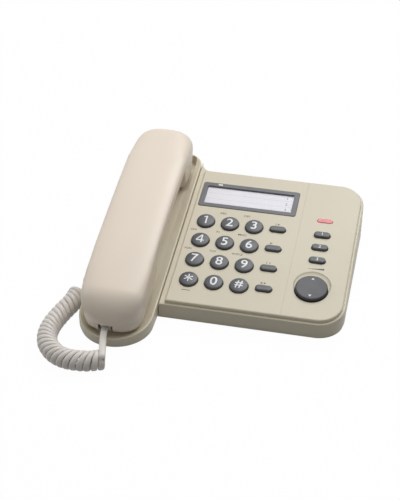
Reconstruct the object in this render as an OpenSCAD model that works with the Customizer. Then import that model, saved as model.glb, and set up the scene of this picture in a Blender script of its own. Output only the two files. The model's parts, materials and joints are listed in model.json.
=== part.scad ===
// Corded desk telephone: a wedge-shaped base with a key deck on the right and a
// long cradle on the left, a handset lying in the cradle, and a curly handset cord.
// Millimetres, +Z up, the earpiece end towards +Y. The origin is on the table,
// under the middle of the telephone without its cord.

/* [Base] */
// Width of the whole base, cradle included
base_w = 190; // [185:1:210]
// Width of the cradle
cradle_w = 55; // [54:0.5:58]
// Length of the raised key deck, along its slope
deck_l = 145; // [140:1:160]
// How far the cradle's nose reaches in front of the deck
cradle_front = 42; // [40:1:46]
// How far the cradle reaches behind the handset
cradle_back = 2.23; // [2:0.01:6]
// Slope of the deck, in degrees
tilt = 8.7; // [8:0.1:9.5]
// Height of the case at the deck's front edge
case_front_h = 13.2; // [12:0.1:16]
// Height of the deck above the ledge round it
deck_rise = 2.7; // [2.2:0.1:3.5]
// Width of the ledge at the deck's front and right
ledge_w = 1.8; // [1.2:0.1:3]
// Radius of the deck's right-hand corners
deck_corner_r = 18; // [10:1:24]
// Wall thickness of the mouldings
wall = 2.2; // [1.8:0.1:2.6]
// Thickness of the bottom pan's floor
floor_t = 1.6; // [1.4:0.1:2]
// Height of the bottom pan's visible edge
pan_h = 3; // [2.5:0.1:4]
// Height of the feet below the pan
foot_h = 1.5; // [1:0.1:3]
// Radius of the feet
foot_r = 6; // [4:0.5:8]

/* [Keys] */
// Radius of a number key
key_r = 6.9; // [6:0.1:7.4]
// Distance between the key columns
key_pitch_x = 18.9; // [18.5:0.1:20]
// Distance between the key rows
key_pitch_y = 21; // [20:0.1:21.5]
// First key column, from the deck's left edge
key_first_x = 12.9; // [12:0.1:16]
// Bottom key row, from the deck's front edge
key_first_y = 23.1; // [20:0.1:25]
// How far a number key stands above the deck
key_stand = 2.6; // [2:0.1:3.2]
// Travel of every key
key_travel = 1.2; // [0.8:0.1:1.4]
// Play between a key and its hole
key_gap = 0.25; // [0.2:0.01:0.35]
// Length of the small oblong keys
pill_l = 12.4; // [11:0.1:13]
// Width of the small oblong keys
pill_w = 5.4; // [5:0.1:6]
// How far the oblong keys stand above the deck
pill_stand = 2.1; // [1.5:0.1:2.4]
// Column of the four function keys
func_x = 69; // [68:0.1:71]
// Memory keys' column: its share of the way from the function keys to the deck's edge
side_x = 0.579; // [0.57:0.001:0.61]
// Top memory key, from the deck's front edge
mem_y = 86.3; // [83:0.1:88]
// Distance between the memory keys
mem_pitch = 13.6; // [13:0.1:14]

/* [Volume rocker] */
// Radius of the rocker disc
rocker_r = 12; // [11:0.1:13]
// How far the rocker stands above the deck
rocker_stand = 2.8; // [2.4:0.1:3.4]
// Place of the rocker, from the deck's front edge
rocker_y = 29.2; // [26:0.1:31]
// Width of the dished recess round the rocker
rocker_recess = 1.4; // [1:0.1:2]
// How far that recess reaches further up the slope
rocker_scoop = 4.6; // [3:0.1:6]

/* [Lamp and card] */
// Length of the lamp's window
lamp_l = 12.5; // [11:0.1:13]
// Width of the lamp's window
lamp_w = 4.4; // [4:0.1:5]
// Place of the lamp, from the deck's front edge
lamp_y = 102.4; // [101:0.1:104]
// Length of the index card's frame
frame_l = 77.3; // [74:0.1:80]
// Width of the index card's frame
frame_w = 27.6; // [25:0.1:29]
// Left end of the frame, from the deck's left edge
frame_x = 2.6; // [2:0.1:5]
// Front edge of the frame, from the deck's front edge
frame_y = 103.3; // [102:0.1:105]
// Width of the frame's bars
frame_bar = 4; // [3:0.1:4.5]

/* [Handset] */
// Length of the handset
hs_l = 201; // [199:1:202]
// Width of the handset
hs_w = 48.6; // [46:0.1:49]
// Height of the handset's back above the cradle's rim
hs_top = 36.5; // [34:0.1:40]
// Height of the handle's underside above the cradle's rim
hs_under = 21; // [18:0.1:23]
// How deep the earpiece reaches below the cradle's rim
ear_deep = 6; // [5:0.1:7]
// How deep the mouthpiece reaches below the cradle's rim
mouth_deep = 1.2; // [0.8:0.1:1.4]
// Length of the earpiece block
ear_l = 38.5; // [38:0.5:40]
// How much each side of the handle is narrower than at the mouthpiece
hs_waist = 0.9; // [0:0.1:1.5]
// Wall thickness of the handset's shells
hs_wall = 2.2; // [1.8:0.1:2.4]
// Travel of the hook plunger
hook_travel = 4; // [3:0.1:5]

/* [Handset cord] */
// Outer radius of the curls
curl_r = 7.4; // [6.5:0.1:8]
// Width of the cord
cord_w = 3.4; // [3:0.1:3.6]
// Thickness of the cord
cord_t = 2.6; // [2.2:0.1:2.8]
// Number of whole curls
curls = 25; // [19:1:27]
// How far the front of each curl leans back along the coil
curl_lean = 3; // [0:0.1:3.2]

/* [Hidden] */
$fn = 64;
eps = 0.01;
far = 400;
play = 0.3;       // gap between pieces that rest on each other
seat = 0.05;      // gap of pieces that are pressed or screwed together
groove = 0.4;     // shadow gap between the cradle and the deck housing
skin = wall;      // thickness of the deck under the keys

// --- places of the base ---
hs_nose = 38;         // the handset's front end, from the deck's front edge
hs_v1 = hs_l - hs_nose;
hs_v0 = hs_v1 - hs_l; // its front end, up the slope
ear_v0 = hs_v1 - ear_l;
deck_run = deck_l * cos(tilt);
base_d = cradle_front + hs_v1 * cos(tilt) + cradle_back;
deck_y = cradle_front - base_d / 2;
case_x1 = base_w / 2;
cradle_r = cradle_w / 2;
cradle_x = -base_w / 2 + cradle_r;
cradle_y0 = -base_d / 2;
cradle_y1 = base_d / 2;
cradle_corner = 14;
gusset_r = 11;
split_x = cradle_x + cradle_r + groove;
strip_w = 4.4;    // ledge between the cradle and the deck
deck_x = split_x + strip_w;
deck_w = case_x1 - ledge_w - deck_x;
side_u = func_x + side_x * (deck_w - func_x);
case_y0 = deck_y - ledge_w;
case_y1 = deck_y + deck_run + ledge_w;
pan_z = foot_h + floor_t;
pan_top = foot_h + pan_h;
pan_inset = 0.8;
lip_t = 1.2;

// --- depths under the deck's top ---
cap_gap = 0.2;
flange_t = 1.2;
flange_w = 1;
flange_top = -skin - cap_gap;
stem_l = 2.8;
stem_end = flange_top - flange_t - stem_l;
board_top = stem_end - key_travel - play;
board_t = 1.6;
mat_t = 0.9;
mat_edge = 4.5;       // the mats reach this far past the last key's middle
side_mat_w = 24;
key_stem_r = 3;
pill_stem_r = 1.7;

// --- places on the deck, measured from its front left corner ---
pill_up = 0.4;        // the oblong keys lie this much above the middle of their row
pill_rows = [for (i = [0:3]) key_first_y + pill_up + i * key_pitch_y];
board_x0 = 3;
board_x1 = deck_w - 9.8;
board_y0 = 4;
board_y1 = deck_l - 11;
board_posts = [[23.5, 8.4], [66, 8], [6.5, 98.9], [deck_w - 16.4, 124]];
case_posts = [[6, 6], [88, 6.5], [deck_w - 6, 64], [deck_w - 48.4, deck_l - 6]];
cradle_posts = [[0, 52], [0, 88]];
post_r = 3.2;
pilot_r = 1.1;
screw_r = 1.05;
screw_head_r = 2.6;
screw_head_h = 1.5;
foot_spots = [[cradle_x, cradle_y0 + 20], [cradle_x, cradle_y1 - 20],
              [case_x1 - 22, case_y0 + 16], [case_x1 - 22, case_y1 - 18]];
foot_sink = 0.6;

// --- cradle, heights from the ledge plane ---
rim_up = 0.8;
rim_w = 1;
flange_in = 7.3;      // width of the sloping flange
dish_n = -2.2;        // height of the flange's inner edge
well_r = cradle_r - flange_in;
ear_well_r = 22.4;
mouth_well_v = 17;    // where the mouthpiece well ends, up the slope
mouth_floor = -mouth_deep - 2;
ear_floor = -ear_deep - play;
well_t = 1.4;
ear_play = 2.6;
ear_well_corner = 4;

// --- hook plunger ---
hook_v = ear_v0 + 9;
hook_l = 9;
hook_w = 5;
hook_stop = 1.2;
hook_end = -24;
hook_stop_top = ear_floor - well_t - hook_travel - play;

// --- rocker and its axle ---
axle_r = 1.2;
axle_play = 0.05;
axle_n = -skin - 2.2;
lug_t = 2;
lug_w = 4.4;
rocker_hole_r = rocker_r + 0.5;
lug_gap = 0.4;
lug_x = rocker_hole_r + lug_t / 2 + lug_gap;
rocker_skirt = 1.8;
recess_deep = 1.3;
recess_top = 0.2;
nub_y = 8;
nub_end = axle_n - 0.8;

// --- card, lamp, mats ---
pocket_deep = 1.4;
frame_stand = 0.5;
card_t = 0.3;
window_t = 0.9;
lamp_stand = 0.5;
led_r = 1.9;
led_top = -skin - 1.1;
dome_r = 30;
collar_h = 0.9;

// --- pan ---
lip_gap = 0.15;
lip_h = 2.5;
head_sink = 1.2;
screw_l = 9;
keyhole_r = 4.2;
keyhole_neck = 4.4;
keyhole_y = [cradle_y0 + 68.7, cradle_y0 + 152.7];
gate_y = deck_y + 50.7;
gate_l = 12;
gate_h = 6;
right_in = 31.2;      // speaker and ringer switch, from the deck's right edge
speaker_x = deck_x + deck_w - right_in;
speaker_y = case_y1 - 34.5;
speaker_r = 16;
vent_pitch = 4;       // sound slots under the speaker
vent_l = 14;
vent_w = 1.6;
ballast_u = 34;       // steel plate under the keys, from the deck's front left corner
ballast_v = 30;
ballast_l = 52;
ballast_w = 44;
ballast_t = 3;
rest_l = 18;
rest_t = 1.6;
tab_v = ear_v0 - 14;
tab_l = 14;
tab_t = 1.8;
tab_h = 4;

// --- inside the handset ---
ear_mid = ear_v0 + 19.3;
capsule_r = 11.5;
capsule_n = -2.4;
mic_v = -9;
weight_v = 56;        // steel bar in the handle
weight_l = 44;
weight_w = 14;
weight_t = 5;
hs_screw_v = [0, ear_v0 + 5];
hs_post_r = 2.3;

// --- sockets ---
plug_w = 7.6;
plug_h = 6;
plug_l = 11;
plug_play = 0.2;
jack_wall = 1.6;
base_jack_y = cradle_y0 + 66.7;
base_jack_z = pan_z + jack_wall + plug_h / 2 + plug_play;
hs_jack_x = -2;
hs_jack_n = 6.5;
hs_jack_sink = 1.7;
hs_jack_v = 9;        // from the nose's tip to the jack
hs_jack_wall = 1;
slot_w = 11;
slot_h = 7;
boot_out = 2.6;       // the cord's collar stands this far out of the nose
base_plug_out = 1;
line_w = 9.8;
line_h = 6.8;
socket_pitch = 32;    // from the line socket to the ringer switch
line_x = deck_x + deck_w - right_in - socket_pitch;
line_z = pan_z + 6;
line_d = 15;
ring_x = deck_x + deck_w - right_in;
ring_z = pan_z + 7.5;
ring_slot_l = 10;
ring_slot_h = 3.4;
ring_knob_l = 4;
ring_travel = 2.5;

// --- route of the curly cord's middle line on the table: x, y ---
curl_route = [[-65.6, -122.8], [-76, -126.4], [-88.5, -127], [-98.7, -123.5], [-106.8, -115.5],
              [-110.8, -105], [-111, -93], [-108.4, -80], [-104.6, -66.5], [-103, -54.5]];
// --- routes of the two straight leads: x, y, z ---
hs_lead_route = [[-68.6, -108, 14], [-67, -114.5, 14.6]];
base_lead_route = [[-97, -53.6, 10.4], [-97.4, -51.6, 11.4], [-98.2, -48, 11.2], [-99.4, -44.4, 10.2],
                   [-100.8, -40.8, 8.9], [-101.5, -38.2, 8.1], [-101.4, -36.8, 7.9]];

// ---------------------------------------------------------------- the handset's form
hs_w2 = hs_w / 2;
crown_v = 85;         // the highest place of the handset's back
nose_plan = 20;       // length of the nose's rounding, seen from above
nose_side = 19;       // and seen from the side
nose_under = 14;
heel_plan = 19;
heel_side = 13;
heel_under = 10;
heel_run = 20;        // the heel's stations are spread over this length
seam_nose = 9;        // height of the parting line at the nose, the handle and the heel
seam_handle = 26.5;
seam_heel = 8;
top_corner = 10;      // rounding of the back's long edges, larger at both ends
nose_corner = 15;
heel_corner = 17;
under_corner = 6;
draft = 0.0035;
draft_top = 34;
guard = 2.4;          // the inner skin keeps this far from steep places
top_power = 4.6;      // how square that rounding is
nose_power = 3.2;
heel_power = 2.7;
under_power = 4;
seam_gap = 0.1;

function smooth(t) = t <= 0 ? 0 : t >= 1 ? 1 : t * t * (3 - 2 * t);
function ease(v, v0, v1, a, b) = a + (b - a) * smooth((v - v0) / (v1 - v0));
// Superellipse quarter: 1 until the rounding begins, 0 at its end.
function quarter(d, l, n) = d <= 0 ? 1 : d >= l ? 0 : pow(1 - pow(d / l, n), 1 / n);

function hs_seam(v) = v < 60 ? ease(v, hs_v0 + 8, 26, seam_nose, seam_handle)
                             : ease(v, ear_v0 - 6, ear_v0 + 8, seam_handle, seam_heel);
function hs_back(v) = hs_top - 0.0005 * pow(v - crown_v, 2);
function hs_belly(v) = v < 60 ? ease(v, 8, 40, -mouth_deep, hs_under)
                              : ease(v, ear_v0 - 6, ear_v0, hs_under, -ear_deep);
function hs_half(v) = (hs_w2 - ease(v, -10, 30, 0, hs_waist))
    * quarter(hs_v0 + nose_plan - v, nose_plan, 2.4) * quarter(v - hs_v1 + heel_plan, heel_plan, 2.3);
function hs_up(v) = (hs_back(v) - hs_seam(v))
    * quarter(hs_v0 + nose_side - v, nose_side, 2.2) * quarter(v - hs_v1 + heel_side, heel_side, 2.2);
function hs_down(v) = (hs_seam(v) - hs_belly(v))
    * quarter(hs_v0 + nose_under - v, nose_under, 2.5) * quarter(v - hs_v1 + heel_under, heel_under, 3);
// A value of the back's section that changes towards both ends.
function by_end(v, nose, middle, heel) = v < crown_v ? ease(v, hs_v0 + 4, 4, nose, middle)
                                                     : ease(v, ear_v0 - 4, hs_v1 - 6, middle, heel);

// Stations along the handset: close together at the ends and at the steps.
hs_stations = concat(
    [for (a = [8, 18, 30, 42, 54, 66, 78]) hs_v0 + nose_plan * (1 - cos(a))],
    [for (v = [-12 : 6.5 : 40]) v],
    [for (v = [50 : 14 : 106]) v],
    [for (i = [0 : 7]) ear_v0 - 8 + 2 * i],
    [for (a = [84, 66, 50, 38, 28, 18, 8]) hs_v1 - heel_run * (1 - cos(a))]);

// Half of a cross-section as [height above the seam, share of the half-width]:
// a straight side wall up to the corner, then a superellipse corner.
function hs_profile(depth, corner, n) =
    let (wall_h = max(0.15 * depth, depth - corner))
    concat([for (i = [0 : 2]) [wall_h * i / 3, 1]],
           [for (a = [0 : 15 : 90]) [wall_h + (depth - wall_h) * pow(sin(a), 2 / n),
                                     pow(cos(a), 2 / n)]]);

// One cross-section: up = 1 for the back shell, -1 for the face shell.
function hs_ring(v, up, inner) =
    let (near = inner ? [for (d = [-guard : guard / 2 : guard])
                            min(max(v + d, hs_v0 + eps), hs_v1 - eps)] : [v],
         half = min([for (u = near) hs_half(u)]) - (inner ? hs_wall : 0),
         seam = hs_seam(v) - (up < 0 ? seam_gap : 0),
         reach = up > 0 ? min([for (u = near) hs_seam(u) + hs_up(u)]) - hs_seam(v)
                        : hs_seam(v) - max([for (u = near) hs_seam(u) - hs_down(u)]),
         depth = max(reach - (inner ? hs_wall : 0), 0.6),
         w = max(half, 0.8),
         corner = up > 0 ? by_end(v, nose_corner, top_corner, heel_corner) : under_corner,
         power = up > 0 ? by_end(v, nose_power, top_power, heel_power) : under_power,
         side = hs_profile(depth, corner, power),
         last = len(side) - 1)
    [for (k = [0 : 2 * last])
        let (q = side[k <= last ? k : 2 * last - k],
             z = seam + up * q[0],
             x = (k <= last ? 1 : -1) * w * q[1] * (1 - draft * max(0, draft_top - z)))
        [x, v, z]];

// A half shell of the handset as one closed skin: outer rows, inner rows and the rim.
module hs_shell(up) {
    mid = (hs_v0 + hs_v1) / 2;
    shrink = (hs_l - 2 * guard) / hs_l;
    outer = [for (v = hs_stations) hs_ring(v, up, false)];
    inner = [for (v = hs_stations) hs_ring(mid + (v - mid) * shrink, up, true)];
    rows = len(hs_stations);
    cols = len(outer[0]);
    size = rows * cols;
    points = [for (r = concat(outer, inner)) for (p = r) p];
    skins = [for (i = [0 : rows - 2], k = [0 : cols - 2])
                let (a = i * cols + k, b = a + cols)
                each [[a, b, a + 1], [a + 1, b, b + 1],
                      [size + a, size + a + 1, size + b], [size + a + 1, size + b + 1, size + b]]];
    rims = [for (i = [0 : rows - 2])
               let (a = i * cols, b = a + cols, c = a + cols - 1, d = c + cols)
               each [[a, size + a, b], [b, size + a, size + b],
                     [c, d, size + c], [d, size + d, size + c]]];
    z = (rows - 1) * cols;
    top = (cols - 1) / 2;
    ends = concat(
        [for (k = [0 : cols - 1]) let (j = (k + 1) % cols) if (k != top && j != top)
            each [[top, k, j], [size + top, size + j, size + k],
                  [z + top, z + j, z + k], [size + z + top, size + z + k, size + z + j]]],
        [[0, cols - 1, size], [cols - 1, size + cols - 1, size],
         [z, size + z, z + cols - 1], [z + cols - 1, size + z, size + z + cols - 1]]);
    faces = concat(skins, rims, ends);
    in_cradle(0, 0, 0) polyhedron(points, up < 0 ? faces : [for (f = faces) [f[0], f[2], f[1]]]);
}

// ---------------------------------------------------------------- the cord's form
// A place of the sloped frame in the part's own frame.
function slope_point(x, v, n) =
    [x, deck_y + v * cos(tilt) - n * sin(tilt),
     foot_h + case_front_h + v * sin(tilt) + n * cos(tilt)];

function unit(v) = v / norm(v);

// Smooth curve through the points of a route, at s = 0 to len - 1, and its direction.
function knot(p, i) = i < 0 ? 2 * p[0] - p[1]
                    : i >= len(p) ? 2 * p[len(p) - 1] - p[len(p) - 2] : p[i];
function along(p, s) =
    let (i = min(floor(s), len(p) - 2), t = s - i,
         a = knot(p, i - 1), b = knot(p, i), c = knot(p, i + 1), d = knot(p, i + 2))
    0.5 * (2 * b + (c - a) * t + (2 * a - 5 * b + 4 * c - d) * t * t
           + (3 * b - a - 3 * c + d) * t * t * t);
function heading(p, s) = unit(along(p, min(s + 0.02, len(p) - 1)) - along(p, max(s - 0.02, 0)));

coil_mid_r = curl_r - cord_t / 2;
coil_z = curl_r + 0.05;
turns = curls + 0.625;
rings_per_curl = 8;
first_turn = 45;      // where on the first curl the lead joins it
lean_rings = 16;      // rings over which the lean builds up
ring_total = turns * rings_per_curl;
coil_sides = 6;
coil_gap = 0.6;       // least space left between neighbouring curls

function coil_frame(i) =
    let (s = (len(curl_route) - 1) * i / ring_total,
         c = along(curl_route, s),
         d = heading(curl_route, s),
         n = [-d[1], d[0], 0],
         a = first_turn - 360 * turns * i / ring_total,
         out = cos(a) * n + [0, 0, sin(a)],
         ahead = sin(a) * n - [0, 0, cos(a)],
         lean = curl_lean * cos(a) * min(1, i / lean_rings, (ring_total - i) / lean_rings))
    [[c[0], c[1], coil_z] + coil_mid_r * out + lean * [d[0], d[1], 0], out, [d[0], d[1], 0], ahead];

coil_frames = [for (i = [0 : ring_total]) coil_frame(i)];

// Room along the coil at a ring: the distance to the same place one curl away.
function coil_room(i) =
    min([for (j = [i - rings_per_curl, i + rings_per_curl])
            j < 0 || j > ring_total ? 99 : norm(coil_frames[j][0] - coil_frames[i][0])]);

function coil_ring(f, w) =
    [for (k = [0 : coil_sides - 1])
        let (a = 360 * k / coil_sides) f[0] + w / 2 * cos(a) * f[2] + cord_t / 2 * sin(a) * f[1]];

function moved(f, d) = [f[0] + d * f[3], f[1], f[2], f[3]];

coil_widths = [for (i = [0 : ring_total]) min(cord_w, coil_room(i) - coil_gap)];
coil_rings = concat(
    [coil_ring(moved(coil_frames[0], -cord_w), coil_widths[0])],
    [for (i = [0 : ring_total]) coil_ring(coil_frames[i], coil_widths[i])],
    [coil_ring(moved(coil_frames[ring_total], cord_w), coil_widths[ring_total])]);
coil_self_gap = min([for (i = [0 : len(coil_rings) - 1], j = [i + 6 : i + 10])
    if (j < len(coil_rings)) for (p = coil_rings[i], q = coil_rings[j]) norm(p - q)]);
echo(coil_self_gap = coil_self_gap);

// A closed tube over rings of equal length; all faces are triangles.
module ring_tube(rings) {
    m = len(rings[0]);
    n = len(rings);
    sides = [for (i = [0 : n - 2], k = [0 : m - 1])
        let (a = i * m + k, b = i * m + (k + 1) % m)
        each [[a, b, a + m], [b, b + m, a + m]]];
    caps = [for (k = [1 : m - 2]) each [[0, k + 1, k], [(n - 1) * m, (n - 1) * m + k, (n - 1) * m + k + 1]]];
    polyhedron([for (r = rings) for (p = r) p], concat(sides, caps));
}

// Round tube of 8 sides through a path's points; up is never along the path.
module lead_tube(path, up) {
    n = len(path);
    ring_tube([for (i = [0 : n - 1])
        let (t = unit((i == 0 ? unit(path[1] - path[0]) : unit(path[i] - path[i - 1]))
                    + (i == n - 1 ? unit(path[i] - path[i - 1]) : unit(path[i + 1] - path[i]))),
             side = unit(cross(t, up)),
             top = cross(side, t))
        [for (k = [0 : 7]) path[i] + cord_w / 2 * (cos(45 * k) * side + sin(45 * k) * top)]]);
}

slope_ahead = [0, -cos(tilt), -sin(tilt)];
hs_lead_start = slope_point(cradle_x + hs_jack_x, hs_v0 - boot_out, hs_jack_n);
coil_in = coil_frames[0][0] - cord_w * coil_frames[0][3];
coil_out = coil_frames[ring_total][0] + cord_w * coil_frames[ring_total][3];
base_lead_end = [-base_w / 2 - base_plug_out, base_jack_y, base_jack_z];
hs_lead_path = concat([hs_lead_start, hs_lead_start + cord_w * slope_ahead], hs_lead_route,
                      [coil_in - cord_w / 2 * coil_frames[0][3], coil_in]);
base_lead_path = concat([coil_out, coil_out + [0, 0, 0.6]], base_lead_route,
                        [base_lead_end - [cord_w, 0, 0], base_lead_end]);

// ---------------------------------------------------------------- frames
// The sloping plane of the ledge: x across, y up the slope, z square to it.
module on_slope(n = 0) {
    translate([0, deck_y, foot_h + case_front_h]) rotate([tilt, 0, 0])
        translate([0, 0, n]) children();
}

// A place on the deck's top, measured from its front left corner.
module on_deck(u, v) {
    on_slope(deck_rise) translate([deck_x + u, v, 0]) children();
}

// A place in the cradle, measured from its middle line.
module in_cradle(u, v, n = 0) {
    on_slope(n) translate([cradle_x + u, v, 0]) children();
}

// Everything below the sloping plane at height n.
module below_slope(n) {
    on_slope(n) translate([-far / 2, -far / 2, -far]) cube([far, far, far]);
}

// A rod along the slope's normal from height n0 to n1.
module rod(n0, n1, r) {
    translate([0, 0, n0]) cylinder(h = n1 - n0, r = r);
}

// An oblong outline, l long with round ends of width w.
module oblong(l, w) {
    square([l - w, w], center = true);
    for (s = [-1, 1]) translate([s * (l - w) / 2, 0]) circle(d = w);
}

// A rectangle with rounded corners; r is one radius, or one for each side.
module round_rect(l, w, r_left, r_right) {
    translate([r_left, 0]) square([l - r_left - r_right, w]);
    translate([0, r_left]) square([r_left, w - 2 * r_left]);
    translate([l - r_right, r_right]) square([r_right, w - 2 * r_right]);
    for (y = [0, 1]) {
        translate([r_left, y == 0 ? r_left : w - r_left]) circle(r = r_left);
        translate([l - r_right, y == 0 ? r_right : w - r_right]) circle(r = r_right);
    }
}

// ---------------------------------------------------------------- plans
module cradle_plan(inset = 0) {
    r = cradle_r - inset;
    rc = cradle_corner - inset;
    y_mid = cradle_y0 + cradle_r;
    y_back = cradle_y1 - cradle_corner;
    translate([cradle_x, y_mid]) circle(r = r);
    translate([cradle_x - r, y_mid]) square([2 * r, y_back - y_mid]);
    translate([cradle_x - r + rc, y_back - eps]) square([2 * (r - rc), rc + eps]);
    for (s = [-1, 1]) translate([cradle_x + s * (r - rc), y_back]) circle(r = rc);
}

module deck_plan(inset = 0) {
    w = case_x1 - split_x - 2 * inset;
    d = case_y1 - case_y0 - 2 * inset;
    translate([split_x + inset, case_y0 + inset])
        round_rect(w, d, 0.5, deck_corner_r + ledge_w - inset);
    translate([split_x + inset, case_y1 - inset - eps]) difference() {
        square([gusset_r - inset, gusset_r + inset]);
        translate([gusset_r - inset, gusset_r + inset]) circle(r = gusset_r + inset);
    }
}

module plateau_plan(inset = 0) {
    translate([inset, inset])
        round_rect(deck_w - 2 * inset, deck_l - 2 * inset, 0.5, deck_corner_r - inset);
}

// A solid with vertical walls on a plan, from z0 up to the slope at height n.
module wedge(z0, n) {
    intersection() {
        translate([0, 0, z0]) linear_extrude(far / 2) children();
        below_slope(n);
    }
}

// ---------------------------------------------------------------- places that repeat
function key_at(col, row) = [key_first_x + col * key_pitch_x, key_first_y + row * key_pitch_y];
function pill_at(i) = i < 4 ? [func_x, pill_rows[3 - i]] : [side_u, mem_y - (i - 4) * mem_pitch];

// The upright column of a case screw, on the world's x and y.
module at_case_posts() {
    for (p = case_posts) translate([deck_x + p[0], deck_y + p[1] * cos(tilt), 0]) children();
}

module at_cradle_posts() {
    for (p = cradle_posts) translate([cradle_x + p[0], deck_y + p[1] * cos(tilt), 0]) children();
}

module at_board_posts() {
    for (p = board_posts) on_deck(p[0], p[1]) children();
}

// ---------------------------------------------------------------- base mouldings
module pocket_plan(inset) {
    translate([frame_x + inset, frame_y + inset])
        round_rect(frame_l - 2 * inset, frame_w - 2 * inset, 2, 2);
}

module deck_openings() {
    for (c = [0:2], r = [0:3])
        on_deck(key_at(c, r)[0], key_at(c, r)[1]) rod(-skin - 1, 1, key_r + key_gap);
    for (i = [0:6]) on_deck(pill_at(i)[0], pill_at(i)[1])
        translate([0, 0, -skin - 1]) linear_extrude(skin + 2)
            oblong(pill_l + 2 * key_gap, pill_w + 2 * key_gap);
    on_deck(side_u, lamp_y) translate([0, 0, -skin - 1]) linear_extrude(skin + 2)
        oblong(lamp_l + 2 * seat, lamp_w + 2 * seat);
    on_deck(side_u, rocker_y) {
        rod(-skin - 1, 1, rocker_hole_r);
        hull() {
            rod(-recess_deep, recess_top, rocker_hole_r);
            translate([0, rocker_scoop, 0]) rod(0, recess_top, rocker_hole_r + rocker_recess);
        }
    }
    on_deck(0, 0) translate([0, 0, -pocket_deep]) linear_extrude(pocket_deep + 1) pocket_plan(-seat);
}

module rocker_lugs() {
    for (s = [-1, 1]) on_deck(side_u + s * lug_x, rocker_y)
        translate([-lug_t / 2, -lug_w / 2, axle_n - lug_w / 2])
            cube([lug_t, lug_w, -skin - axle_n + lug_w / 2 + eps]);
}

module deck_housing() {
    color("#d8d0bb") difference() {
        union() {
            difference() {
                union() {
                    wedge(pan_top, 0) deck_plan();
                    on_slope(-1) translate([deck_x, 0, 0])
                        linear_extrude(deck_rise + 1) plateau_plan();
                }
                wedge(pan_top - 1, -wall) deck_plan(wall);
                on_slope(-wall - 1) translate([deck_x, 0, 0])
                    linear_extrude(wall + 1 + deck_rise - skin) plateau_plan(wall);
            }
            wedge(pan_z + seat, deck_rise - skin + eps) at_case_posts_plan() circle(r = post_r);
            at_board_posts() rod(board_top + seat, -skin + eps, post_r);
            rocker_lugs();
        }
        deck_openings();
        wedge(pan_z, -wall) at_case_posts_plan() circle(r = pilot_r);
        at_board_posts() rod(board_top - 1, -skin - 0.6, pilot_r);
        on_deck(side_u, rocker_y) translate([0, 0, axle_n]) rotate([0, 90, 0])
            cylinder(h = 2 * lug_x + 2 * lug_t, r = axle_r + axle_play, center = true);
        translate([line_x, case_y1, line_z]) cube([line_w, 3 * wall, line_h], center = true);
        translate([ring_x, case_y1, ring_z])
            cube([ring_slot_l, 3 * wall, ring_slot_h], center = true);
        wire_gate();
    }
}

module at_case_posts_plan() {
    for (p = case_posts) translate([deck_x + p[0], deck_y + p[1] * cos(tilt)]) children();
}

module at_cradle_posts_plan() {
    for (p = cradle_posts) translate([cradle_x + p[0], deck_y + p[1] * cos(tilt)]) children();
}

// Opening for the wires between the cradle and the deck housing.
module wire_gate() {
    translate([split_x - groove / 2, gate_y, pan_top + gate_h / 2])
        cube([4 * wall, gate_l, gate_h], center = true);
}

// The sloping flange that leads down to the wells.
module cradle_dish() {
    up = 1;
    h = rim_up - dish_n + up;
    grow = (flange_in - rim_w) * h / (rim_up - dish_n);
    v0 = (cradle_y0 + cradle_r - deck_y) / cos(tilt);
    v1 = (cradle_y1 - cradle_corner - deck_y) / cos(tilt);
    rc = cradle_corner - flange_in;
    cx = cradle_r - cradle_corner;
    in_cradle(0, v0, dish_n) cylinder(h = h, r1 = well_r, r2 = well_r + grow);
    in_cradle(0, v1, dish_n) rotate([90, 0, 0]) linear_extrude(v1 - v0)
        polygon([[-well_r, 0], [well_r, 0], [well_r + grow, h], [-well_r - grow, h]]);
    for (s = [-1, 1]) in_cradle(s * cx, v1, dish_n) cylinder(h = h, r1 = rc, r2 = rc + grow);
    in_cradle(-cx, v1, dish_n) rotate([90, 0, 90]) linear_extrude(2 * cx)
        polygon([[-1, 0], [rc, 0], [rc + grow, h], [-1, h]]);
}

module mouth_well(grow = 0) {
    v0 = hs_v0 + well_r + 0.5;
    in_cradle(0, 0, mouth_floor - grow) linear_extrude(rim_up + 2 - mouth_floor + grow) {
        translate([0, v0]) circle(r = well_r + grow);
        translate([-well_r - grow, v0])
            round_rect(2 * (well_r + grow), mouth_well_v - v0 + grow, 8, 8);
        translate([-well_r - grow, v0]) square([2 * (well_r + grow), 10]);
    }
}

module ear_well(grow = 0) {
    v0 = ear_v0 - ear_play;
    v1 = (cradle_y1 - wall - deck_y) / cos(tilt) - 0.4;
    in_cradle(0, 0, ear_floor - grow) linear_extrude(rim_up + 2 - ear_floor + grow)
        translate([-ear_well_r - grow, v0 - grow])
            round_rect(2 * (ear_well_r + grow), v1 - v0 + 2 * grow,
                       ear_well_corner + grow, ear_well_corner + grow);
}

module plug_hole() {
    translate([cradle_x - cradle_r, base_jack_y, base_jack_z])
        cube([4 * plug_l, plug_w + 2 * plug_play, plug_h + 2 * plug_play], center = true);
}

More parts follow.
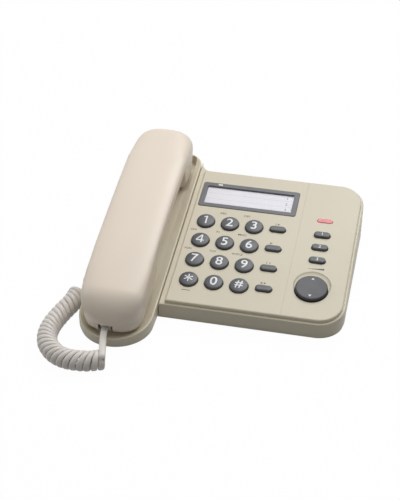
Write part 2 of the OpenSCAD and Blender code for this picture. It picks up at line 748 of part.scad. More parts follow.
module cradle_housing() {
    color("#dbd3bf") difference() {
        union() {
            difference() {
                wedge(pan_top, rim_up) cradle_plan();
                wedge(pan_top - 1, dish_n - well_t) cradle_plan(wall);
            }
            intersection() {
                union() {
                    mouth_well(well_t);
                    ear_well(well_t);
                }
                wedge(pan_z + seat, rim_up) cradle_plan(wall - eps);
            }
            wedge(pan_z + seat, dish_n - eps) at_cradle_posts_plan() circle(r = post_r);
        }
        cradle_dish();
        mouth_well();
        ear_well();
        wedge(pan_z, dish_n - well_t) at_cradle_posts_plan() circle(r = pilot_r);
        in_cradle(0, hook_v, ear_floor - 2 * well_t) linear_extrude(4 * well_t)
            oblong(hook_l + 2 * key_gap, hook_w + 2 * key_gap);
        in_cradle(0, tab_v, dish_n - 2 * well_t) linear_extrude(4 * well_t)
            square([tab_l + 2 * seat, tab_t + 2 * seat], center = true);
        intersection() {
            plug_hole();
            translate([cradle_x - cradle_r - 1, -far / 2, 0]) cube([wall + 2, far, far]);
        }
        wire_gate();
    }
    color("#dbd3bf") for (v = [-22, 4]) in_cradle(0, v, mouth_floor)
        translate([-rest_l / 2, -rest_t / 2, -eps])
            cube([rest_l, rest_t, -mouth_deep - play - mouth_floor + eps]);
}

module whole_plan(inset) {
    cradle_plan(inset);
    deck_plan(inset);
    translate([split_x - 6, case_y0 + inset]) square([12, case_y1 - case_y0 - 2 * inset]);
}

module base_pan() {
    color("#b9b29f") difference() {
        union() {
            translate([0, 0, foot_h]) linear_extrude(floor_t) whole_plan(pan_inset);
            translate([0, 0, foot_h]) linear_extrude(pan_h) difference() {
                whole_plan(pan_inset);
                whole_plan(wall + pan_inset);
            }
            wedge(pan_z - eps, dish_n - well_t - play) intersection() {
                difference() {
                    cradle_plan(wall + lip_gap);
                    cradle_plan(wall + lip_gap + lip_t);
                }
                translate([-far / 2, cradle_y0 + 8]) square([far, base_d - 16]);
            }
        }
        at_case_posts() pan_screw_hole();
        at_cradle_posts() pan_screw_hole();
        for (f = foot_spots) translate([f[0], f[1], foot_h - 1])
            cylinder(h = 1 + foot_sink, r = foot_r + seat);
        cord_jack_block(play);
        line_jack_block(play);
        for (y = keyhole_y) translate([cradle_x, y, 0]) keyhole();
        wire_gate();
        translate([0, 0, pan_top + lip_h]) linear_extrude(far) whole_plan(0);
        at_speaker() for (x = [-2:2]) translate([x * vent_pitch, 0, -floor_t - 1]) rotate([0, 0, 90])
            linear_extrude(floor_t + 2) oblong(vent_l, vent_w);
    }
}

module pan_screw_hole() {
    translate([0, 0, foot_h - 1]) cylinder(h = pan_h, r = screw_r + 0.35);
    translate([0, 0, foot_h - 1]) cylinder(h = 1 + head_sink, r = screw_head_r + 0.3);
}

// Keyhole for hanging the base on a wall stud.
module keyhole() {
    translate([0, 0, foot_h - 1]) cylinder(h = pan_h, r = keyhole_r);
    translate([-keyhole_neck / 2, 0, foot_h - 1]) cube([keyhole_neck, 9, pan_h]);
    translate([0, 9, foot_h - 1]) cylinder(h = pan_h, r = keyhole_neck / 2);
}

module rubber_feet() {
    color("#3a3a3a") for (f = foot_spots) translate([f[0], f[1], 0])
        cylinder(h = foot_h + foot_sink, r = foot_r);
}

module case_screws() {
    color("silver") {
        at_case_posts() screw();
        at_cradle_posts() screw();
    }
}

module screw() {
    translate([0, 0, foot_h + head_sink - screw_head_h]) cylinder(h = screw_head_h, r = screw_head_r);
    translate([0, 0, foot_h]) cylinder(h = screw_l, r = screw_r);
}

module board_screws() {
    color("silver") at_board_posts() {
        rod(board_top - board_t - screw_head_h, board_top - board_t, screw_head_r);
        rod(board_top - board_t - eps, board_top + 2.5, screw_r);
    }
}

// ---------------------------------------------------------------- deck furniture
module index_frame() {
    color("#77787d") on_deck(0, 0) translate([0, 0, -pocket_deep]) difference() {
        linear_extrude(pocket_deep + frame_stand) pocket_plan(0);
        translate([0, 0, -1]) linear_extrude(far / 4) card_plan(0);
    }
}

module card_plan(inset) {
    translate([frame_x + frame_bar + inset, frame_y + frame_bar + inset])
        square([frame_l - 2 * frame_bar - 2 * inset, frame_w - 2 * frame_bar - 2 * inset]);
}

module index_card() {
    color("#f1eff4") on_deck(0, 0) translate([0, 0, -pocket_deep])
        linear_extrude(card_t) card_plan(0.15);
}

module card_window() {
    color("#e8f0f4", 0.4) on_deck(0, 0) translate([0, 0, -pocket_deep + card_t])
        linear_extrude(window_t) card_plan(seat);
}

module lamp_lens() {
    color("#e8505a") on_deck(side_u, lamp_y) {
        translate([0, 0, -skin - eps]) linear_extrude(skin + eps + lamp_stand) oblong(lamp_l, lamp_w);
        translate([0, 0, -skin - 0.8]) linear_extrude(0.8) oblong(lamp_l + 2, lamp_w + 2);
    }
}

module lamp_led() {
    color("#f4d0d0") on_deck(side_u, lamp_y) {
        rod(board_top, led_top - led_r, led_r);
        translate([0, 0, led_top - led_r]) intersection() {
            sphere(r = led_r);
            translate([0, 0, led_r / 2]) cube([3 * led_r, 3 * led_r, led_r], center = true);
        }
        rod(board_top, board_top + 0.8, led_r + 0.4);
    }
}

// A round number key: a domed cap, the flange that holds it in, and its stem.
module number_key(col, row) {
    color("#6f7074") on_deck(key_at(col, row)[0], key_at(col, row)[1]) {
        intersection() {
            rod(flange_top - eps, key_stand, key_r);
            translate([0, 0, key_stand - dome_r]) sphere(r = dome_r, $fn = 128);
        }
        rod(flange_top - flange_t, flange_top, key_r + flange_w);
        rod(stem_end, flange_top - flange_t + eps, key_stem_r);
    }
}

// An oblong function or memory key.
module pill_key(i) {
    color("#6f7074") on_deck(pill_at(i)[0], pill_at(i)[1]) {
        translate([0, 0, flange_top - eps])
            linear_extrude(pill_stand - flange_top + eps) oblong(pill_l, pill_w);
        translate([0, 0, flange_top - flange_t]) linear_extrude(flange_t)
            oblong(pill_l + 2 * flange_w, pill_w + 2 * flange_w);
        rod(stem_end, flange_top - flange_t + eps, pill_stem_r);
    }
}

module key_1() { number_key(0, 3); }
module key_2() { number_key(1, 3); }
module key_3() { number_key(2, 3); }
module key_4() { number_key(0, 2); }
module key_5() { number_key(1, 2); }
module key_6() { number_key(2, 2); }
module key_7() { number_key(0, 1); }
module key_8() { number_key(1, 1); }
module key_9() { number_key(2, 1); }
module key_star() { number_key(0, 0); }
module key_0() { number_key(1, 0); }
module key_hash() { number_key(2, 0); }
module key_program() { pill_key(0); }
module key_flash() { pill_key(1); }
module key_pause() { pill_key(2); }
module key_redial() { pill_key(3); }
module key_memory_1() { pill_key(4); }
module key_memory_2() { pill_key(5); }
module key_memory_3() { pill_key(6); }

module volume_rocker() {
    color("#6f7074") on_deck(side_u, rocker_y) {
        rod(-rocker_skirt, rocker_stand - 0.8, rocker_r);
        translate([0, 0, rocker_stand - 0.8 - eps]) cylinder(h = 0.8, r1 = rocker_r, r2 = rocker_r - 0.7);
        translate([-3, -2, axle_n]) cube([6, 4, -rocker_skirt - axle_n + eps]);
        translate([0, 0, axle_n]) rotate([0, 90, 0])
            cylinder(h = 2 * lug_x + lug_t, r = axle_r, center = true);
        for (s = [-1, 1]) translate([0, s * nub_y, 0]) rod(nub_end, -rocker_skirt + eps, 1.6);
    }
}

// ---------------------------------------------------------------- electronics
module collar(r) {
    difference() {
        rod(board_top, board_top + mat_t + collar_h, r + 1.1);
        rod(board_top - 1, 0, r);
    }
}

// Silicone mat with a collar round each key's stem.
module keypad_mat() {
    color("#c9c9c4") {
        difference() {
            on_deck(0, 0) translate([key_first_x - 9, key_first_y - 8, board_top])
                cube([func_x + 17 - key_first_x, 3 * key_pitch_y + 16, mat_t]);
            for (c = [0:2], r = [0:3]) on_deck(key_at(c, r)[0], key_at(c, r)[1])
                rod(board_top - 1, 0, key_stem_r + 0.5);
            for (i = [0:3]) on_deck(pill_at(i)[0], pill_at(i)[1])
                rod(board_top - 1, 0, pill_stem_r + 0.5);
        }
        for (c = [0:2], r = [0:3]) on_deck(key_at(c, r)[0], key_at(c, r)[1]) collar(key_stem_r + 0.5);
        for (i = [0:3]) on_deck(pill_at(i)[0], pill_at(i)[1]) collar(pill_stem_r + 0.5);
    }
}

module side_mat() {
    color("#c9c9c4") {
        difference() {
            on_deck(0, 0) translate([side_u - side_mat_w / 2, rocker_y - nub_y - mat_edge, board_top])
                cube([side_mat_w, mem_y - rocker_y + nub_y + 2 * mat_edge, mat_t]);
            for (i = [4:6]) on_deck(pill_at(i)[0], pill_at(i)[1])
                rod(board_top - 1, 0, pill_stem_r + 0.5);
        }
        for (i = [4:6]) on_deck(pill_at(i)[0], pill_at(i)[1]) collar(pill_stem_r + 0.5);
    }
}

module main_board() {
    color("#3f6b46") difference() {
        on_deck(0, 0) translate([board_x0, board_y0, board_top - board_t]) linear_extrude(board_t)
            round_rect(board_x1 - board_x0, board_y1 - board_y0, 2, 10);
        at_board_posts() rod(board_top - 2 * board_t, 0, screw_r + 0.2);
        at_case_posts() cylinder(h = far / 4, r = post_r + 0.8);
    }
}

module hook_plunger() {
    color("#d8d0bb") in_cradle(0, hook_v) {
        translate([0, 0, hook_end]) linear_extrude(ear_floor - hook_end) oblong(hook_l, hook_w);
        translate([0, 0, hook_stop_top - hook_stop]) linear_extrude(hook_stop)
            oblong(hook_l + 3, hook_w + 3);
    }
}

module hook_switch() {
    y = deck_y + hook_v * cos(tilt) - hook_end * sin(tilt);
    top = foot_h + case_front_h + hook_v * sin(tilt) + hook_end * cos(tilt);
    color("#2c2c2e") translate([cradle_x, y, 0]) {
        translate([-8, -4, pan_z]) cube([16, 8, top - 2 - pan_z]);
        translate([-2, -1.5, pan_z]) cube([4, 3, top - 1.2 - pan_z]);
    }
}

module at_speaker() {
    translate([speaker_x, speaker_y, pan_z]) children();
}

module ringer_speaker() {
    color("#4a4a4c") at_speaker() {
        cylinder(h = 1.5, r = speaker_r);
        cylinder(h = 5, r = speaker_r - 3);
        cylinder(h = 8, r = 7);
    }
}

module line_jack_block(grow) {
    w = line_w + 2 * jack_wall;
    translate([line_x - w / 2 - grow, case_y1 - wall - seat - line_d - grow, pan_z])
        cube([w + 2 * grow, line_d + 2 * grow, line_z + line_h / 2 + jack_wall - pan_z]);
}

// Modular line socket: the hollow opens through the back wall.
module line_jack() {
    color("#3a3a3c") difference() {
        line_jack_block(0);
        translate([line_x - line_w / 2, case_y1 - wall - line_d + 3, line_z - line_h / 2])
            cube([line_w, line_d, line_h]);
    }
}

// Modular socket for the handset cord, in the cradle's left wall.
module cord_jack() {
    color("#3a3a3c") difference() {
        cord_jack_block(0);
        plug_hole_inner();
    }
}

module cord_jack_block(grow) {
    w = plug_w + 2 * jack_wall + 2 * plug_play;
    translate([cradle_x - cradle_r + wall + seat - grow, base_jack_y - w / 2 - grow, pan_z])
        cube([plug_l + 2, w + 2 * grow, plug_h + 2 * jack_wall + 2 * plug_play + grow]);
}

module plug_hole_inner() {
    translate([cradle_x - cradle_r, base_jack_y - plug_w / 2 - plug_play,
               base_jack_z - plug_h / 2 - plug_play])
        cube([wall + plug_l, plug_w + 2 * plug_play, plug_h + 2 * plug_play]);
}

module ringer_switch() {
    color("#6f7074") translate([ring_x, case_y1, ring_z]) {
        translate([-ring_knob_l / 2, -wall - 1.5, -1.2]) cube([ring_knob_l, wall + 2.7, 2.4]);
        translate([-ring_slot_l / 2 - ring_travel, -wall - 1.5, -2.6])
            cube([ring_slot_l + 2 * ring_travel, 1.2, 5.2]);
    }
}

module ballast_plate() {
    color("#8d9196") translate([deck_x + ballast_u, deck_y + ballast_v, pan_z])
        cube([ballast_l, ballast_w, ballast_t]);
}

module hanger_tab() {
    color("#d8d0bb") in_cradle(0, tab_v, dish_n) {
        translate([-tab_l / 2, -tab_t / 2, -well_t - 1.5]) cube([tab_l, tab_t, well_t + 1.5 + tab_h]);
        translate([-tab_l / 2, -tab_t / 2, tab_h - tab_t]) cube([tab_l, tab_t + 2.2, tab_t]);
    }
}

// ---------------------------------------------------------------- handset
module jack_slot() {
    in_cradle(hs_jack_x, hs_v0 - 1, hs_jack_n) translate([-slot_w / 2, 0, -slot_h / 2])
        cube([slot_w, hs_jack_v + 1, slot_h]);
}

module handset_back_shell() {
    color("#e2dbc8") difference() {
        union() {
            hs_shell(1);
            for (v = hs_screw_v) in_cradle(0, v)
                rod(post_foot(v), hs_back(v) - hs_wall / 2, hs_post_r);
        }
        for (v = hs_screw_v) in_cradle(0, v) rod(hs_belly_in(v) - 1, hs_belly_in(v) + 10, pilot_r);
        jack_slot();
    }
}

function hs_belly_in(v) = hs_seam(v) - hs_down(v) + hs_wall;
// A screw post stands on the highest place of the inner skin under it.
function post_foot(v) = seat + max([for (d = [-1 : 0.5 : 1]) hs_belly_in(v + d * (hs_post_r + guard))]);

module handset_face_shell() {
    color("#ddd5c1") difference() {
        hs_shell(-1);
        jack_slot();
        for (v = hs_screw_v) in_cradle(0, v, hs_belly_in(v) - hs_wall) {
            rod(-1, 3 * hs_wall, screw_r + 0.2);
            rod(-1, head_sink, screw_head_r + 0.2);
        }
        for (a = [0 : 60 : 300]) in_cradle(5 * cos(a), ear_mid + 5 * sin(a)) rod(-10, 0, 1);
        in_cradle(0, ear_mid) rod(-10, 0, 1);
        for (x = [-3, 0, 3]) in_cradle(x, mic_v) rod(-5, 3, 0.8);
    }
}

module receiver_capsule() {
    color("#55565a") in_cradle(0, ear_mid) {
        rod(capsule_n, capsule_n + 5, capsule_r);
        rod(capsule_n + 5 - eps, capsule_n + 8, capsule_r - 4);
    }
}

module receiver_gasket() {
    color("#2e2e30") in_cradle(0, ear_mid) difference() {
        rod(capsule_n - 0.8, capsule_n, capsule_r - 1);
        rod(capsule_n - 2, capsule_n + 1, capsule_r - 3);
    }
}

module microphone_capsule() {
    color("#9a9ca0") in_cradle(0, mic_v) rod(hs_belly_in(mic_v) + seat, hs_belly_in(mic_v) + 4.5, 4.8);
}

module handset_weight() {
    color("#8d9196") in_cradle(-weight_w / 2, weight_v, hs_under + hs_wall + play)
        cube([weight_w, weight_l, weight_t]);
}

module handset_jack() {
    color("#3a3a3c") in_cradle(hs_jack_x, hs_v0 + hs_jack_v, hs_jack_n) difference() {
        translate([-plug_w / 2 - hs_jack_wall - plug_play, 0, -plug_h / 2 - hs_jack_wall - plug_play])
            cube([plug_w + 2 * hs_jack_wall + 2 * plug_play, plug_l,
                  plug_h + 2 * hs_jack_wall + 2 * plug_play]);
        translate([-plug_w / 2 - plug_play, -1, -plug_h / 2 - plug_play])
            cube([plug_w + 2 * plug_play, plug_l - 1, plug_h + 2 * plug_play]);
    }
}

module handset_screws() {
    color("silver") for (v = hs_screw_v) in_cradle(0, v, hs_belly_in(v) - hs_wall + head_sink) {
        rod(-screw_head_h + 0.5, 0, screw_head_r);
        rod(-eps, 9, screw_r);
    }
}

// Modular plug: a clear block with the cord's collar behind it.
module handset_plug() {
    color("#d9d9d4") in_cradle(hs_jack_x, 0, hs_jack_n) {
        translate([-plug_w / 2, hs_v0 + hs_jack_sink, -plug_h / 2]) cube([plug_w, plug_l, plug_h]);
        translate([0, hs_v0 + hs_jack_sink + eps, 0]) rotate([90, 0, 0])
            cylinder(h = hs_jack_sink + boot_out + eps, r = cord_w / 2 + 0.1);
    }
}

module base_plug() {
    color("#d9d9d4") translate(base_lead_end) translate([0, -plug_w / 2, -plug_h / 2])
        cube([plug_l + base_plug_out, plug_w, plug_h]);
}

module handset_lead() {
    color("#d9d6cc") lead_tube(hs_lead_path, [0, 0, 1]);
}

module curly_cord() {
    color("#d9d6cc") ring_tube(coil_rings);
}

module base_lead() {
    color("#d9d6cc") lead_tube(base_lead_path, [-1, 0, 1]);
}

deck_housing();
cradle_housing();
base_pan();
index_frame();
index_card();
card_window();
lamp_lens();
lamp_led();
key_1();
key_2();
key_3();
key_4();
key_5();
key_6();
key_7();
key_8();
key_9();
key_star();
key_0();
key_hash();
key_program();
key_flash();
key_pause();
key_redial();
key_memory_1();
key_memory_2();
key_memory_3();
volume_rocker();
keypad_mat();
side_mat();
main_board();
hook_plunger();
hook_switch();
ringer_speaker();
line_jack();
cord_jack();
ringer_switch();
ballast_plate();
rubber_feet();
case_screws();
board_screws();
hanger_tab();
handset_back_shell();
handset_face_shell();
receiver_capsule();
receiver_gasket();
microphone_capsule();
handset_weight();
handset_jack();
handset_screws();
handset_plug();
handset_lead();
curly_cord();
base_lead();
base_plug();
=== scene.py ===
import json
from math import acos, atan2, ceil, copysign, cos, degrees, hypot, pi, radians, sin, sqrt, tan

import bmesh
import bpy
from mathutils import Matrix, Vector

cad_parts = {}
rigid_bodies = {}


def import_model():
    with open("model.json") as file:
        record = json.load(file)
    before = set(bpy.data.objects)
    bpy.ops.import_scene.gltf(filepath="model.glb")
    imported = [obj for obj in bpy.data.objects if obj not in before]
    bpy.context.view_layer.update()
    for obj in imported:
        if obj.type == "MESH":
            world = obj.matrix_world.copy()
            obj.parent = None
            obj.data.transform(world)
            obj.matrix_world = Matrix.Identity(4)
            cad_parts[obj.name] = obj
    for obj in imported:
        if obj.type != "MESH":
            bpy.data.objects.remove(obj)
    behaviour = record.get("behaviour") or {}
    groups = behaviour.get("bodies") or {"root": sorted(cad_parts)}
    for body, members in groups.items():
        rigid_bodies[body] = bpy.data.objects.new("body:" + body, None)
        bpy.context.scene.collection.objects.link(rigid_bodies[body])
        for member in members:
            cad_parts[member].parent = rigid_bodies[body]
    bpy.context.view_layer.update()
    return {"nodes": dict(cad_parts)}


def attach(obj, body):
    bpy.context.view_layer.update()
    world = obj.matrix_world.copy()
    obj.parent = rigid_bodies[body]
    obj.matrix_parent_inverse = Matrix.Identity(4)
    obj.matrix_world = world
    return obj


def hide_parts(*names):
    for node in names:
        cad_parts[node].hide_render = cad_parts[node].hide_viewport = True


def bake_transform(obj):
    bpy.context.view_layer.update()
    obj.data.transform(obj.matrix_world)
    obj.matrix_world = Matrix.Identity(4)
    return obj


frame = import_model()

# ------------ camera and room
# A small studio: a white paper sweep, one large soft box above and behind the
# telephone, a weaker one on the left, and almost nothing from the front.
MM = 0.001
scene = bpy.context.scene
scene.view_settings.view_transform = "Standard"

aim = Vector((-22.75, 4.0, 17.4)) * MM
camera_azimuth, camera_height, camera_away = radians(12.12), radians(36.63), 0.9474
sight = Vector((sin(camera_azimuth) * cos(camera_height),
                -cos(camera_azimuth) * cos(camera_height),
                sin(camera_height)))
camera = bpy.data.objects.new("camera", bpy.data.cameras.new("camera"))
camera.data.lens, camera.data.sensor_width = 88.8, 36
camera.data.clip_start = 0.05
camera.location = aim + sight * camera_away
camera.rotation_euler = (-sight).to_track_quat("-Z", "Y").to_euler()
scene.collection.objects.link(camera)
scene.camera = camera


def linear(code):
    """An sRGB hex colour as the linear colour that a shader takes."""
    parts = [int(code[i:i + 2], 16) / 255 for i in (1, 3, 5)]
    return [c / 12.92 if c <= 0.04045 else ((c + 0.055) / 1.055) ** 2.4 for c in parts] + [1.0]


def add_node(tree, kind, settings=None, **links):
    """Adds a shader node with its settings; links name a socket (or __number) and its value or source."""
    node = tree.nodes.new(kind)
    for key, value in (settings or {}).items():
        setattr(node, key, value)
    for key, value in links.items():
        socket = node.inputs[int(key[2:]) if key.startswith("__") else key.replace("_", " ")]
        if isinstance(value, bpy.types.NodeSocket):
            tree.links.new(value, socket)
        else:
            socket.default_value = value
    return node


def new_material(name):
    """An empty node material and its output node."""
    material = bpy.data.materials.new(name)
    material.use_nodes = True
    material.node_tree.nodes.clear()
    return material, material.node_tree, add_node(material.node_tree, "ShaderNodeOutputMaterial")


def lit_and_seen(tree, out, lit, seen, share):
    """Joins what the light's own rays meet with a share of what the camera, a reflection or a
    clear pane sees."""
    path = add_node(tree, "ShaderNodeLightPath")
    part = path.outputs["Is Camera Ray"]
    for operation, other in (("MAXIMUM", path.outputs["Is Glossy Ray"]),
                             ("MAXIMUM", path.outputs["Is Transmission Ray"]), ("MULTIPLY", share)):
        part = add_node(tree, "ShaderNodeMath", {"operation": operation}, __0=part, __1=other).outputs[0]
    mixed = add_node(tree, "ShaderNodeMixShader", Fac=part, __1=lit.outputs[0], __2=seen.outputs[0])
    tree.links.new(mixed.outputs[0], out.inputs["Surface"])


# Matt white paper sweep: burnt out to white, so that only a trace of the shadow is left.
paper, tree, out = new_material("white_paper_sweep")
matt = add_node(tree, "ShaderNodeBsdfDiffuse", Color=linear("#9c9c9c"))
white = add_node(tree, "ShaderNodeEmission", Color=(1, 1, 1, 1), Strength=1.04)
lit_and_seen(tree, out, matt, white, 0.94)
sweep = bmesh.new()
bmesh.ops.create_grid(sweep, x_segments=8, y_segments=8, size=3.0)
floor = bpy.data.objects.new("floor", bpy.data.meshes.new("floor"))
sweep.to_mesh(floor.data)
sweep.free()
floor.data.materials.append(paper)
scene.collection.objects.link(floor)

world = bpy.data.worlds.new("studio")
scene.world = world
world.use_nodes = True
tree = world.node_tree
tree.nodes.clear()
# The room's soft light grows from the horizon to the ceiling.
sky = add_node(tree, "ShaderNodeTexCoord").outputs["Generated"]
towards = add_node(tree, "ShaderNodeSeparateXYZ", Vector=sky)
glow = add_node(tree, "ShaderNodeMapRange", Value=towards.outputs["Z"], To_Min=0.06, To_Max=0.50)
ambient = add_node(tree, "ShaderNodeBackground", Color=linear("#f3f1ee"), Strength=glow.outputs["Result"])
white = add_node(tree, "ShaderNodeBackground", Color=(1, 1, 1, 1), Strength=1.0)
lit_and_seen(tree, add_node(tree, "ShaderNodeOutputWorld"), ambient, white, 1.0)

for name, place, goal, size, watts in (
        ("softbox_above", (0.24, 0.55, 1.15), (-0.02, 0.0, 0.0), 1.05, 12.2),
        ("softbox_left", (-1.15, -0.10, 0.42), (-0.06, 0.0, 0.03), 0.55, 2.0),
        ("fill_front", (0.35, -1.3, 0.9), (0.0, 0.0, 0.0), 0.8, 0.12)):
    lamp = bpy.data.lights.new(name, "AREA")
    lamp.shape, lamp.size, lamp.energy = "SQUARE", size, watts
    lamp_object = bpy.data.objects.new(name, lamp)
    lamp_object.location = place
    lamp_object.rotation_euler = (Vector(goal) - Vector(place)).to_track_quat("-Z", "Y").to_euler()
    scene.collection.objects.link(lamp_object)

# ------------ handset cord
# Flat four-wire cord in a PVC jacket, wound hot on a mandrel into about 26 close
# curls; both ends are left straight and crimped into clear modular plugs.
tilt = radians(8.7)
base_w, cradle_w, deck_l = 190.0, 55.0, 145.0
hs_v0, hs_l = -38.0, 201.0                  # the handset's front end and its length
hs_v1 = hs_v0 + hs_l
cradle_front, cradle_back = 42.0, 2.23      # reach in front of the deck and behind the handset
base_d = cradle_front + hs_v1 * cos(tilt) + cradle_back
deck_y = cradle_front - base_d / 2          # front edge of the key deck
ledge_z = 1.5 + 13.2                        # height of the ledge there
cradle_x = -base_w / 2 + cradle_w / 2       # middle line of the cradle


def slope_point(x, v, n):
    """A place of the sloping ledge plane: x across, v up the slope, n square to it, all in mm."""
    return Vector((x, deck_y + v * cos(tilt) - n * sin(tilt),
                   ledge_z + v * sin(tilt) + n * cos(tilt)))


def along(points, s):
    """A smooth curve's place at s, from 0 to the number of its last point."""
    i = min(int(s), len(points) - 2)
    t = s - i
    b, c = points[i], points[i + 1]
    a = points[i - 1] if i else 2 * b - c
    d = points[i + 2] if i + 2 < len(points) else 2 * c - b
    return 0.5 * (2 * b + (c - a) * t + (2 * a - 5 * b + 4 * c - d) * t ** 2
                  + (3 * b - a - 3 * c + d) * t ** 3)


def heading(points, s, step):
    """The direction of a smooth curve at s."""
    return (along(points, min(s + step, len(points) - 1)) - along(points, max(s - step, 0))).normalized()


cord_w, cord_t = 5.0, 2.6                   # flat cord: width and thickness
curl_r, curl_turns, curl_steps = 7.4, 25.625, 28
first_turn = 45.0                           # where on the first curl the lead joins it
coil_lean = 3.0                             # the front of each curl leans back along the coil
curl_route = [Vector((x, y, curl_r + 0.05)) for x, y in (
    (-65.6, -122.8), (-76, -126.4), (-88.5, -127), (-98.7, -123.5), (-106.8, -115.5),
    (-110.8, -105), (-111, -93), (-108.4, -80), (-104.6, -66.5), (-103, -54.5))]
curl_gap = 0.25                             # least room between two curls
hs_jack_x, hs_jack_n = -2.0, 6.5            # the cord's socket in the handset's nose
boot_out = 2.6                              # how far its plug's boot stands out
base_jack_y, base_jack_z = -36.0, 7.9       # the cord's socket in the cradle's left wall


def curl_ring(share):
    """Centre, width direction and outward direction of the coiled cord at a share of its turns."""
    s = share * (len(curl_route) - 1)
    ahead = heading(curl_route, s, 0.02)
    across = Vector((-ahead.y, ahead.x, 0))
    turn = radians(first_turn) - 2 * pi * curl_turns * share
    outward = cos(turn) * across + Vector((0, 0, sin(turn)))
    lean = coil_lean * min(1, share * curl_turns / 2, (1 - share) * curl_turns / 2)
    centre = (along(curl_route, s) + (curl_r - cord_t / 2) * outward
              + lean * cos(turn) * ahead)
    return centre, ahead, outward


steps = round(curl_turns * curl_steps)
coil = [curl_ring(i / steps) for i in range(steps + 1)]
room = [min((coil[j][0] - coil[i][0]).length for j in (i - curl_steps, i + curl_steps)
            if 0 <= j <= steps) for i in range(steps + 1)]
rings = [(c, w, o, min(cord_w, gap - curl_gap)) for (c, w, o), gap in zip(coil, room)]

# The lead out of the handset's nose comes over the top of the first curl.
slope_ahead = Vector((0, -cos(tilt), -sin(tilt)))
nose_start = slope_point(cradle_x + hs_jack_x, hs_v0 - boot_out, hs_jack_n)
first, last = rings[0], rings[-1]
into_coil = (coil[1][0] - coil[0][0]).normalized()
nose_route = [nose_start - 3 * slope_ahead, nose_start + 1.5 * slope_ahead,
              Vector((-68.6, -108, 14.0)), Vector((-67.0, -114.5, 14.6)),
              first[0] - 3.2 * into_coil, first[0], coil[3][0]]
base_plug_end = Vector((-base_w / 2 - 1, base_jack_y, base_jack_z))
base_route = [coil[-4][0], last[0]] + [Vector(p) for p in (
    (-97.0, -53.6, 10.4), (-97.4, -51.6, 11.4), (-98.2, -48, 11.2), (-99.4, -44.4, 10.2),
    (-100.8, -40.8, 8.9), (-101.5, -38.2, 8.1), (-101.4, -36.8, 7.9))] + [
    base_plug_end - Vector((3.4, 0, 0)), base_plug_end + Vector((1, 0, 0))]


def lead_rings(route, sides, start, end):
    """Rings along a straight lead whose flat side turns through three sides: at its start, its
    middle and its end."""
    result, each = [], 6
    for i in range(round(start * each), round(end * each) + 1):
        s = i / each
        ahead = heading(route, s, 0.05)
        turned = 2 * (s - start) / (end - start)
        half = min(int(turned), 1)
        side = sides[half].lerp(sides[half + 1], turned - half)
        side = (side - side.dot(ahead) * ahead).normalized()
        result.append((along(route, s), side, side.cross(ahead), cord_w))
    return result


nose_lead = lead_rings(nose_route, [Vector((-1, 0, 0)), first[1], first[1]], 0, len(nose_route) - 2)[:-1]
base_lead = lead_rings(base_route, [last[1], Vector((1, 0.2, 0)), Vector((0, -1, 0))],
                       1, len(base_route) - 1)[1:]


def fitted(lead, end, near):
    """A lead whose width and outward side come to those of the curl's ring that it joins."""
    flip = copysign(1, lead[end][2].dot(near[2]))
    return [(c, w, flip * o, near[3] + (width - near[3]) * min(1, (c - near[0]).length / 6))
            for c, w, o, width in lead]


def stack(rings, unit=MM):
    """A closed solid whose skin passes through rings with equal numbers of points, in mm."""
    bm = bmesh.new()
    face = bm.faces.new([bm.verts.new(Vector(p) * unit) for p in rings[0]])
    bottom = list(face.verts)
    for ring in rings[1:]:
        face = bmesh.ops.extrude_discrete_faces(bm, faces=[face])["faces"][0]
        for vert, p in zip(face.verts, ring):
            vert.co = Vector(p) * unit
    bm.faces.new(list(reversed(bottom)))
    bmesh.ops.recalc_face_normals(bm, faces=bm.faces)
    return bm


# The cord's section: nearly flat faces, well rounded edges.
edge_power, face_power, section_points = 0.75, 0.85, 14
section = [(copysign(abs(cos(a)) ** edge_power, cos(a)) / 2,
            copysign(abs(sin(a)) ** face_power, sin(a)) * cord_t / 2)
           for a in (2 * pi * k / section_points for k in range(section_points))]
rings = fitted(nose_lead, -1, rings[0]) + rings + fitted(base_lead, 0, rings[-1])
tube = stack([[centre + x * width * wide + y * outward for x, y in section]
              for centre, wide, outward, width in rings])


def finish(name, colour, shade, patch, detail=2.0, mottle=0.5, dull=None, relief=None, **skin):
    """A material whose colour wanders to shade in patches of so many mm. dull gives the least and
    the greatest roughness, relief a grain in mm with its detail, strength and depth in mm."""
    material, tree, out = new_material(name)
    place = add_node(tree, "ShaderNodeTexCoord").outputs["Object"]
    patches = add_node(tree, "ShaderNodeTexNoise", Vector=place, Scale=1 / (patch * MM),
                       Detail=detail, Roughness=mottle)
    tint = add_node(tree, "ShaderNodeMix", {"data_type": "RGBA"}, __0=patches.outputs["Fac"],
                    __6=linear(colour), __7=linear(shade))
    if dull:
        skin["Roughness"] = add_node(tree, "ShaderNodeMapRange", Value=patches.outputs["Fac"],
                                     From_Min=0.3, From_Max=0.7, To_Min=dull[0],
                                     To_Max=dull[1]).outputs["Result"]
    if relief:
        grain, grain_detail, strength, depth = relief
        fine = add_node(tree, "ShaderNodeTexNoise", Vector=place, Scale=1 / (grain * MM),
                        Detail=grain_detail)
        skin["Normal"] = add_node(tree, "ShaderNodeBump", Strength=strength, Distance=depth * MM,
                                  Height=fine.outputs["Fac"]).outputs["Normal"]
    shader = add_node(tree, "ShaderNodeBsdfPrincipled", Base_Color=tint.outputs[2], **skin)
    tree.links.new(shader.outputs[0], out.inputs["Surface"])
    return material


def plastic(name, colour, shade, rough, rough_spread, grain, bump, ior=1.53, coat=0.0,
            cloud=26.0, subsurface=0.0):
    """A moulded plastic: colour and gloss wander over cloud mm, and the skin has a grain in mm."""
    return finish(name, colour, shade, cloud, detail=3.0, mottle=0.55,
                  dull=(rough - rough_spread, rough + rough_spread), relief=(grain, 2.0, bump, 0.05),
                  IOR=ior, Coat_Weight=coat, Subsurface_Weight=subsurface, Subsurface_Scale=0.6 * MM)


